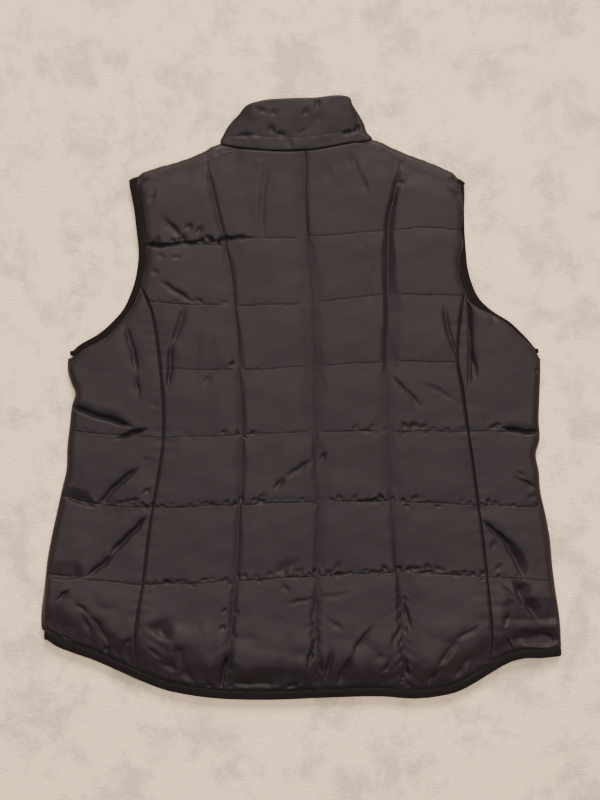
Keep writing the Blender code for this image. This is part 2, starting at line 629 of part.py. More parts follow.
    # over the shoulder and on to the seam on the back
    ring = [fold_row(u) for u in us]
    along = shoulder(0.12) - shoulder(0)
    along /= np.linalg.norm(along)
    ring[:4] = [ring[0] + along * float(np.linalg.norm(p - ring[0])) for p in ring[:4]]
    turn_end = np.array(NECK_TURN_LEFT if side == "left" else NECK_TURN_RIGHT)
    length = [0.0]
    for a, b in zip(ring[:-1], ring[1:]):
        length.append(length[-1] + float(np.linalg.norm(b - a)))
    shape = []
    for c, p in enumerate(ring):
        a, b = ring[max(c - 1, 0)], ring[min(c + 1, len(ring) - 1)]
        d = along if c < 4 else (b - a) / np.linalg.norm(b - a)
        q = np.array([-d[1], d[0]]) * (1 if side == "left" else -1)
        if length[-1] - length[c] < 14:
            k = 1 - (length[-1] - length[c]) / 14
            q = q * (1 - k) + turn_end * k
            q /= np.linalg.norm(q)
        big = min(ramp((length[c] - BINDING) / 6), ramp((length[-1] - length[c] - 2) / 9))
        shape.append((q, WALL / 2 + FOLD_R - 0.15 + (FOLD_Z + 0.15 - WALL / 2 - FOLD_R) * big))
    r_in = FOLD_R - WALL / 2 + 0.15
    outer[-1] = [np.array([*p, FOLD_Z - r]) for p, (q, r) in zip(ring, shape)]
    inner[-1] = [np.array([*p, FOLD_Z - r_in]) for p in ring]
    for deg in TURN + (180,):
        s, co = math.sin(math.radians(deg)), math.cos(math.radians(deg))
        outer.append([np.array([*(p + q * r * s), FOLD_Z - r * co]) for p, (q, r) in zip(ring, shape)])
        inner.append([np.array([*(p + q * r_in * s), FOLD_Z - r_in * co]) for p, (q, r) in zip(ring, shape)])
        kept.append(len(outer) - 1)
    last = [yoke(length[c] / length[-1]) for c in range(len(ring))]
    outer.append([np.array([*p, BACK_WALL_Z[1]]) for p in last])
    inner.append([np.array([*p, BACK_WALL_Z[0]]) for p in last])
    slab("front_" + side, outer, inner, SHELL, kept, [0, 3, 4, 6, 8, 10, 12])



# ------------------------------------------------------------------- collar
def collar():
    across = (0, 0.09, COLLAR_ROW, 0.45, 0.68, 0.88, 1)
    neck_back = path(NECK_BACK)
    lift_up = np.array([0, 2 * GAP])
    outer, inner = [], []
    kept = []

    def wall(t):
        """Share of the padding's height at a share of the collar's height."""
        if t <= COLLAR_ROW:
            return 0.6 * math.sin(math.pi * t / COLLAR_ROW) ** 0.7
        return math.sin(math.pi * min(max((t - COLLAR_ROW) / (1.04 - COLLAR_ROW), 0), 1)) ** 0.6

    def add(points, lows, highs, keep=True):
        outer.append([np.array([*p, h]) for p, h in zip(points, highs)])
        inner.append([np.array([*p, l]) for p, l in zip(points, lows)])
        if keep:
            kept.append(len(outer) - 1)

    folds = {}
    for side, table, turn_end in (("left", COLLAR_FOLD_LEFT, NECK_TURN_LEFT),
                                  ("right", COLLAR_FOLD_RIGHT, NECK_TURN_RIGHT)):
        mid = path(table)
        sgn = -1 if side == "left" else 1
        ring = []
        for t in across:
            p = mid(t)
            d = mid(min(t + 0.08, 1)) - mid(max(t - 0.08, 0))
            d /= np.linalg.norm(d)
            q = np.array([-d[1], d[0]]) * -sgn
            k = ramp(t / 0.2)
            q = q * k + np.array(turn_end) * (1 - k)
            q /= np.linalg.norm(q)
            if t == 0:
                p = p + d * 2 * GAP
            r = FOLD_R + WALL / 2 + (FOLD_Z - WALL / 2 - FOLD_R) * (0.35 + 0.65 * wall(t)) * ramp(t / 0.06)
            ring.append((p, q, r))
        folds[side] = ring

    def front_half(side, order):
        sgn = -1 if side == "left" else 1
        neck = path(NECK_FRONT if side == "left" else NECK_FRONT_RIGHT)
        top = path(COLLAR_FRONT_TOP if side == "left" else COLLAR_FRONT_TOP_RIGHT)
        ring = folds[side]
        fold_at = lambda v: np.array([np.interp(v, across, [r[0][0] for r in ring]),
                                      np.interp(v, across, [r[0][1] for r in ring])])
        end = straight((sgn * PANEL_OPEN, 229 + 2 * GAP), (sgn * PANEL_OPEN, 294))
        n0, n1 = fold_at(0), end(0)
        low = lambda u: (neck(u) + inward(neck, u, -sgn) * 2 * GAP if 0 < u < 1 else (n0, n1)[int(u)])
        t0, t1 = fold_at(1), end(1)
        high = lambda u: top(u) + mix(t0 - top(0), t1 - top(1), u)
        patch = coons(low, high, fold_at, end)
        for u in order:
            pts = [patch(u, v) for v in across]
            by_cf = ramp((abs(pts[0][0]) - PANEL_OPEN - FRONT_CF - 3) / 14) if u < 1 else 0
            lows, highs = [], []
            for t in across:
                puff = wall(t) * by_cf
                highs.append(FRONT_WALL_Z[1] + 1.2 * puff * ramp(u / 0.3))
                sunk = 0.35 + 0.65 * wall(t)
                edge = FRONT_WALL_Z[0] * (1 - ramp(by_cf * 2) * sunk)
                r_end = FOLD_Z - [r[2] for r in ring][across.index(t)]
                lows.append(mix(r_end, edge, ramp(u / 0.25)) if u < 0.25 else edge)
            outer.append([np.array([*p, z]) for p, z in zip(pts, lows)])
            inner.append([np.array([*p, z]) for p, z in zip(pts, highs)])
            kept.append(len(outer) - 1)

    r_in = FOLD_R - WALL / 2

    def turn(side, degs):
        for deg in degs:
            s, co = math.sin(math.radians(deg)), math.cos(math.radians(deg))
            outer.append([np.array([*(p + q * r * s), FOLD_Z - r * co]) for p, q, r in folds[side]])
            inner.append([np.array([*(p + q * r_in * s), FOLD_Z - r_in * co]) for p, q, r in folds[side]])
            kept.append(len(outer) - 1)

    front_half("left", NECK_KNOTS)
    turn("left", (0,) + TURN + (180,))
    left, right = folds["left"], folds["right"]
    left_at = lambda v: np.array([np.interp(v, across, [r[0][i] for r in left]) for i in (0, 1)])
    right_at = lambda v: np.array([np.interp(v, across, [r[0][i] for r in right]) for i in (0, 1)])
    top = path(COLLAR_TOP)
    n0, n1, t0, t1 = left_at(0), right_at(0), left_at(1), right_at(1)
    low = lambda u: neck_back(u) + mix(n0 - neck_back(0), n1 - neck_back(1), u) + lift_up * math.sin(math.pi * u) ** 0.3
    high = lambda u: top(u) + mix(t0 - top(0), t1 - top(1), u)
    patch = coons(low, high, left_at, right_at)
    for u in (0.06, 0.14, 0.25, 0.37, 0.5, 0.63, 0.75, 0.86, 0.94):
        pts = [patch(u, v) for v in across]
        near = ramp(min(u, 1 - u) / 0.16)
        highs = []
        for i, t in enumerate(across):
            side_r = (left if u < 0.5 else right)[i][2]
            flat = BACK_WALL_Z[1] + 3.8 * wall(t)
            highs.append(mix(FOLD_Z + side_r, flat, near))
        add(pts, [BACK_LOW] * len(across), highs)
    turn("right", (180,) + TURN[::-1] + (0,))
    front_half("right", NECK_KNOTS[::-1])
    slab("collar", outer, inner, SHELL, kept, [0, 2, 4, 6])


# ----------------------------------------------------------------- bindings
OUT = WALL / 2 + GAP
U_SECTION = [(BINDING - EDGE, OUT + CLOTH), (-GAP, OUT + CLOTH), (-GAP - CLOTH, OUT), (-GAP - CLOTH, -OUT),
             (-GAP, -OUT - CLOTH), (BINDING - EDGE, -OUT - CLOTH), (BINDING - EDGE, -OUT), (-GAP, -OUT),
             (-GAP, OUT), (BINDING - EDGE, OUT)]


def v3(p, z=0.0):
    return np.array([p[0], p[1], z])


def fold_frames(centre, across, q, degs):
    """Frames round a fold: 0 degrees is on top and 180 underneath."""
    frames = []
    for deg in degs:
        s, co = math.sin(math.radians(deg)), math.cos(math.radians(deg))
        out = v3(q * s, co)
        frames.append((v3(centre, FOLD_Z) + out * FOLD_R, v3(across), out))
    return frames


UP_Z, DOWN_Z = np.array([0, 0, 1.0]), np.array([0, 0, -1.0])


def armhole_binding(side):
    sgn = -1 if side == "left" else 1
    curve, turn, t0, t1 = armhole_facts(side)
    shoulder = path(SHOULDER_LEFT if side == "left" else SHOULDER_RIGHT)
    d = shoulder(0.12) - shoulder(0)
    along = d / np.linalg.norm(d)
    q_top = np.array([-along[1], along[0]]) * -sgn
    down, q_low = np.array([0.0, -1.0]), np.array([float(sgn), 0.0])
    steps = [0, 0.05, 0.11, 0.17, 0.24, 0.31, 0.38, 0.45, 0.52, 0.60, 0.68, 0.77, 0.86, 0.94, 1]
    edge = []
    for k in steps:
        t = t0 + (t1 - t0) * k
        n = inward(curve, t, turn)
        if k < 0.1:
            n = mix(down, n, k / 0.1)
        if k > 0.86:
            n = mix(n, along, (k - 0.86) / 0.14)
        edge.append((arm_in(curve, t, EDGE, turn), n / np.linalg.norm(n)))
    frames = [(v3(p, BOUND_BACK), v3(n), UP_Z) for p, n in edge]
    frames += fold_frames(shoulder(0) - along * (TUCK - EDGE), along, q_top, TURN)
    frames += [(v3(p, BOUND_FRONT), v3(n), DOWN_Z) for p, n in reversed(edge)]
    frames += fold_frames(edge[0][0], down, q_low, TURN[::-1])
    sweep("armhole_binding_" + side, frames, U_SECTION, BIND, True)


def hem_binding():
    hem_l, hem_r = smooth(HEM_FRONT), smooth(HEM_FRONT_RIGHT)
    x_l = side_x("left")(-284) + FOLD_Z + GAP * 0
    x_r = side_x("right")(-303) - FOLD_Z

    def frame(x, table, z, out, up=0.0):
        slope = (table(x + 2) - table(x - 2)) / 4
        n = np.array([-slope, 1.0]) / math.hypot(slope, 1)
        n = mix(n, np.array([0, 1.0]), up)
        return (v3((x, hem_in(x, EDGE, table)), z), v3(n / np.linalg.norm(n)), out)

    def turn_up(x):
        return max(ramp(1 - (x - x_l) / 14), ramp(1 - (x_r - x) / 14))
    frames = [frame(x, hem_l, BOUND_FRONT, DOWN_Z, turn_up(x)) for x in (-PANEL_OPEN, -50, -100, -150, -200, -240, -270, -288, x_l)]
    start = np.array([x_l, (frames[-1][0][1] + hem_in(x_l, EDGE)) / 2])
    frames += fold_frames(start, np.array([0, 1.0]), np.array([-1.0, 0]), TURN[::-1])
    xs = [x_l, -290, -275, -260, -240, -220, -200, -180, -160, -145, -130, -110, -75, -35, 10, 50, 90, 115, 135, 150,
          165, 180, 195, 210, 225, 240, 254, 268, 284, x_r]
    frames += [frame(x, hem_y, BOUND_BACK, UP_Z, turn_up(x)) for x in xs]
    start = np.array([x_r, (frames[-1][0][1] + hem_in(x_r, EDGE, hem_r)) / 2])
    frames += fold_frames(start, np.array([0, 1.0]), np.array([1.0, 0]), TURN)
    frames += [frame(x, hem_r, BOUND_FRONT, DOWN_Z, turn_up(x)) for x in (x_r, 284, 265, 240, 200, 150, 100, 50, PANEL_OPEN)]
    sweep("hem_binding", frames, U_SECTION, BIND, False)


# ---------------------------------------------------------------------- zip
def box(name, x, y, z, mat, bevel=0.0):
    bm = bmesh.new()
    bmesh.ops.create_cube(bm, size=1.0)
    for v in bm.verts:
        v.co = ((x[0] + (x[1] - x[0]) * (v.co.x + 0.5)) * 0.001, (y[0] + (y[1] - y[0]) * (v.co.y + 0.5)) * 0.001,
                (z[0] + (z[1] - z[0]) * (v.co.z + 0.5)) * 0.001)
    if bevel:
        bmesh.ops.bevel(bm, geom=bm.edges[:], offset=bevel * 0.001, segments=1, affect="EDGES")
    mesh = bpy.data.meshes.new(name)
    bm.to_mesh(mesh)
    bm.free()
    ob = bpy.data.objects.new(name, mesh)
    bpy.context.scene.collection.objects.link(ob)
    ob.data.materials.append(mat)
    return ob


def joined(name, parts, mat):
    """One solid from boxes that overlap."""
    main = parts[0]
    main.name = name
    for other in parts[1:]:
        mod = main.modifiers.new("join", "BOOLEAN")
        mod.operation, mod.solver, mod.object = "UNION", "EXACT", other
        bpy.context.view_layer.update()
        shape = bpy.data.meshes.new_from_object(main.evaluated_get(bpy.context.evaluated_depsgraph_get()))
        main.modifiers.clear()
        main.data = shape
        bpy.data.objects.remove(other, do_unlink=True)
    main.data.materials.clear()
    main.data.materials.append(mat)
    return main


ZIP_LOW, ZIP_TOP = -313.0, 291.0


def zip_parts():
    for side, sgn in (("left", -1), ("right", 1)):
        x = sorted((sgn * (CHAIN_W / 2 + GAP), sgn * (CHAIN_W / 2 + GAP + TAPE_W)))
        box("zip_tape_" + side, x, (ZIP_LOW, ZIP_TOP), (TAPE_Z, TAPE_Z + TAPE_T), TAPE)
    y0 = PULL_AXIS_Y - SLIDER[1] / 2
    box("zip_chain", (-CHAIN_W / 2, CHAIN_W / 2), (ZIP_LOW, y0 + 1.6), (3.4, 3.4 + CHAIN_T), TEETH)
    half = SLIDER[0] / 2
    under = box("zip_slider", (-half, half), (y0, y0 + SLIDER[1]), (2.25, 3.1), METAL)
    over = box("over", (-half, half), (y0, y0 + SLIDER[1]), (6.25, 7.2), METAL)
    post = box("post", (-1.5, 1.5), (y0 + 2.4, y0 + SLIDER[1] - 2.5), (2.9, 6.5), METAL)
    near = box("near", (-1.0, 1.0), (PULL_AXIS_Y - 3.6, PULL_AXIS_Y - 2.6), (0.2, 2.5), METAL)
    far = box("far", (-1.0, 1.0), (PULL_AXIS_Y + 2.6, PULL_AXIS_Y + 3.6), (0.2, 2.5), METAL)
    bar = box("bar", (-1.0, 1.0), (PULL_AXIS_Y - 3.3, PULL_AXIS_Y + 3.3), (0.1, 0.6), METAL)
    joined("zip_slider", [under, over, post, near, far, bar], METAL)
    half, win = PULL_W / 2, 1.9
    z = (PULL_AXIS_Z - PULL_T / 2, PULL_AXIS_Z + PULL_T / 2)
    tab = box("zip_pull", (-half, half), (PULL_AXIS_Y - PULL_L, PULL_AXIS_Y - 6.0), z, METAL)
    arm_l = box("arm_l", (-half, -win), (PULL_AXIS_Y - 6.5, PULL_AXIS_Y + 0.6), z, METAL)
    arm_r = box("arm_r", (win, half), (PULL_AXIS_Y - 6.5, PULL_AXIS_Y + 0.6), z, METAL)
    pin = box("pin", (-win - 0.3, win + 0.3), (PULL_AXIS_Y - 0.45, PULL_AXIS_Y + 0.45), (PULL_AXIS_Z - 0.45, PULL_AXIS_Z + 0.45), METAL)
    pull = joined("zip_pull", [tab, arm_l, arm_r, pin], METAL)
    at = np.array([0, PULL_AXIS_Y, PULL_AXIS_Z]) * 0.001
    for v in pull.data.vertices:
        v.co = [a - b for a, b in zip(v.co, at)]
    pull.location = at


back_centre()
back_side("left")
back_side("right")
front("left")
front("right")
collar()
armhole_binding("left")
armhole_binding("right")
hem_binding()
zip_parts()
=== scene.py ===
"""A quilted vest laid out face down: its fine cloth, stitching, zip, floor, light and camera."""
import math

import bmesh
import bpy
import numpy as np
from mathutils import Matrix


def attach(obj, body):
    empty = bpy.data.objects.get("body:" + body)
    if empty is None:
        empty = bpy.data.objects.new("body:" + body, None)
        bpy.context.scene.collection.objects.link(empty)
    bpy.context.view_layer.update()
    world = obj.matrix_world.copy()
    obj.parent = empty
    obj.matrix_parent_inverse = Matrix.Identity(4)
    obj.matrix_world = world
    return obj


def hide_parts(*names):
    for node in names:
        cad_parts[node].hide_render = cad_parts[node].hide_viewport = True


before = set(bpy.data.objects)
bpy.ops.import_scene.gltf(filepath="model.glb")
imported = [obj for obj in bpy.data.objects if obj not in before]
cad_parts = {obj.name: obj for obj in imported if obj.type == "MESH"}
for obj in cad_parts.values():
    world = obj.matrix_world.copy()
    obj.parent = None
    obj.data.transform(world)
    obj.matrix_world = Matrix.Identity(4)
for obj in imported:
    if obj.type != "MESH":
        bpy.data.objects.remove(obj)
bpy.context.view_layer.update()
BODY = "vest"
SIGN = {"left": -1, "right": 1}   # which way x runs on each side, seen from above with the collar up

# ------------------------------------------------ sizes shared with the solids, in mm
MM = 0.001
GAP, WALL, CLOTH, BINDING, EDGE, TUCK = 0.3, 3.0, 1.2, 11.0, 1.6, 3.4
FRONT_TOP, BACK_LOW, BOUND_FRONT, BOUND_BACK = 7.5, 7.8, 3.0, 9.3
FOLD_Z, FOLD_R = 6.15, 3.15   # the middle and radius of the folds at the side edges and shoulders
PANEL_OPEN = 6.0   # half the width between the fronts
FRONT_WALL_Z, BACK_WALL_Z = (1.5, 4.5), (7.8, 10.8)
TURN = tuple(range(12, 180, 12))
HALF_TURN = (0, *TURN, 180)
Y_FULL = 46.0   # where the side edges meet the armhole bindings
Y_CORNER = {"left": -284, "right": -303}   # where they meet the hem
SHOULDER_Y = {"left": 254.5, "right": 251.2}
APEX_Y = {"left": 156.5, "right": 152.0}   # where the seams run out into the armholes
COLLAR_ROW, COLLAR_TALL = 0.27, 63
NECK_TURN = {"left": (-0.70, 0.71), "right": (0.70, 0.71)}

# lines of the cut: (x, y)
SIDE = {
    "left": [
        (-308, -284), (-310, -267), (-307, -230), (-304, -196), (-299, -167), (-293, -139), (-287, -112), (-281, -85),
        (-280, -60), (-277, -32), (-274, -8), (-270.5, 4), (-275, 17), (-279.5, 32), (-279, 47)],
    "right": [
        (309, -300), (307, -267), (301, -224), (298, -200), (295, -167), (290, -139), (284, -112), (282, -88),
        (278.5, -67), (283, -50), (282, -28), (283, 4), (284, 30), (284, 47)]}
ARMHOLE = {
    "left": [
        (-279, 50), (-266, 62), (-242, 76), (-225, 91), (-213, 105), (-206, 119), (-200, 136), (-196, 156),
        (-195, 176), (-197, 196), (-200, 222), (-204, 244), (-207.5, 259)],
    "right": [
        (284, 50), (275, 62), (263, 75), (247, 90), (225, 104), (210, 119), (202, 136), (197, 155), (195, 176),
        (193.5, 196), (193, 222), (193.5, 244), (193, 257)]}
HEM_BACK = [
    (-308, -286), (-293, -296), (-272, -304.5), (-250, -312), (-222, -324), (-193, -337), (-164, -348), (-136, -354),
    (-100, -358.5), (-40, -360), (40, -357), (93, -356), (135, -358.5), (164, -355.5), (186, -350), (207, -339),
    (228, -326), (246, -316), (264, -311), (285, -310.5), (308, -308)]
HEM_FRONT = {
    "left": [(-308, -286), (-290, -292), (-255, -300), (-200, -313), (-120, -322), (-40, -327), (-PANEL_OPEN, -328)],
    "right": [(308, -308), (285, -308.5), (250, -309.5), (200, -314), (120, -322), (40, -327), (PANEL_OPEN, -328)]}
SHOULDER = {
    "left": [(-203.2, 255.0), (-190, 261.6), (-170, 268.6), (-148, 274.6), (-119.5, 285.3), (-94.7, 299.7)],
    "right": [(190.3, 252.4), (178, 261.5), (165, 268), (148, 275), (120, 285.5), (98, 295.5), (80.7, 304.7)]}
YOKE = {
    "left": [(-201.5, 248.6), (-169, 262.5), (-122, 277.5), (-100, 284), (-85, 289.5), (-70.6, 294.9)],
    "right": [(189.9, 244.4), (165, 261), (145, 270), (120, 280), (98, 290), (80, 298), (62.5, 302.1)]}
COLLAR_FOLD = {
    "left": [(-94.7, 299.7), (-87.4, 313), (-80.8, 326), (-75, 336.5)],
    "right": [(80.7, 304.7), (73, 312), (67.5, 326), (62.8, 339), (59.5, 348)]}
COLLAR_TOP = [
    (-75, 336.5), (-67, 346.5), (-48, 353), (-20, 355.5), (15, 356.5), (48, 359), (56.5, 356.5), (59.5, 348)]
COLLAR_FRONT_TOP = {
    "left": [(-75, 336.5), (-55, 324), (-30, 306), (-PANEL_OPEN, 294)],
    "right": [(59.5, 348), (48, 329), (30, 308), (PANEL_OPEN, 294)]}
NECK_FRONT = {
    "left": [(-94.7, 299.7), (-86, 276), (-66, 253), (-36, 236), (-PANEL_OPEN, 229)],
    "right": [(80.7, 304.7), (76, 277), (60, 253), (34, 236), (PANEL_OPEN, 229)]}
NECK_BACK = [
    (-94.7, 299.7), (-68, 295), (-23, 292), (15, 294), (53, 301), (80.7, 304.7)]
TOP_EDGE = [
    (-203.3, 247.1), (-169, 261.7), (-122, 276.7), (-100, 283.2), (-85, 288.6), (-71, 293.7), (-64, 293.5),
    (-23, 291.1), (15, 293.1), (53, 300.0), (63, 301.1), (80, 297.2), (98, 289.2), (120, 279.2), (145, 269.2),
    (165, 260.2), (191.5, 242.1)]
# seams and upright rows of stitching: (y, x)
SEAM = {
    "left": [
        (-340, -192), (-312, -196), (-269, -195), (-213, -187), (-152, -180), (-105, -172), (-58, -165), (-11, -164),
        (46, -169), (102, -178), (130, -187), (146, -191.6), (158, -192.7), (176, -191.6), (196, -193.6),
        (222, -196.6), (250, -201.6)],
    "right": [
        (-340, 225), (-293, 224), (-241, 221), (-180, 215), (-124, 208), (-72, 201), (-25, 194), (18, 188),
        (41, 183.5), (78, 185), (102, 187), (121, 191), (138, 193.6), (152, 193.4), (176, 191.6), (196, 190.1),
        (222, 189.6), (245, 189.7)]}
UP = {
    "1": [
        (-360, -91), (-293, -86), (-218, -79), (-128, -74), (-44, -71), (32, -75), (107, -80), (182, -91),
        (229, -103), (290, -115)],
    "2": [(-360, 22), (-279, 16), (-213, 18), (-124, 19), (-41, 15), (36, 13), (112, 11), (187, 5), (300, 2)],
    "3": [
        (-360, 121), (-340, 121), (-255, 118), (-199, 113), (-124, 107), (-44, 102), (41, 101), (121, 102),
        (187, 102), (220, 105), (290, 120)]}
# rows of stitching across: (x, y)
ACROSS = {
    "F": [(-305, -209), (-244, -217), (-187, -222), (-82, -218), (22, -212), (114, -208), (217, -213), (300, -218)],
    "E": [(-292, -117), (-244, -127), (-178, -131), (-75, -128), (17, -124), (104, -124), (203, -128), (290, -131)],
    "D": [(-280, -40), (-220, -45), (-171, -48), (-72, -45), (15, -41), (104, -41), (194, -41), (284, -41)],
    "C": [(-171, 33), (-75, 32), (12, 36), (97, 41), (186, 41)],
    "B": [(-186, 112), (-79, 108), (10, 111), (100, 121), (194, 119)],
    "A": [(-197, 180), (-89, 182), (-70, 186), (5, 189), (104, 197), (147, 200), (196, 194)]}

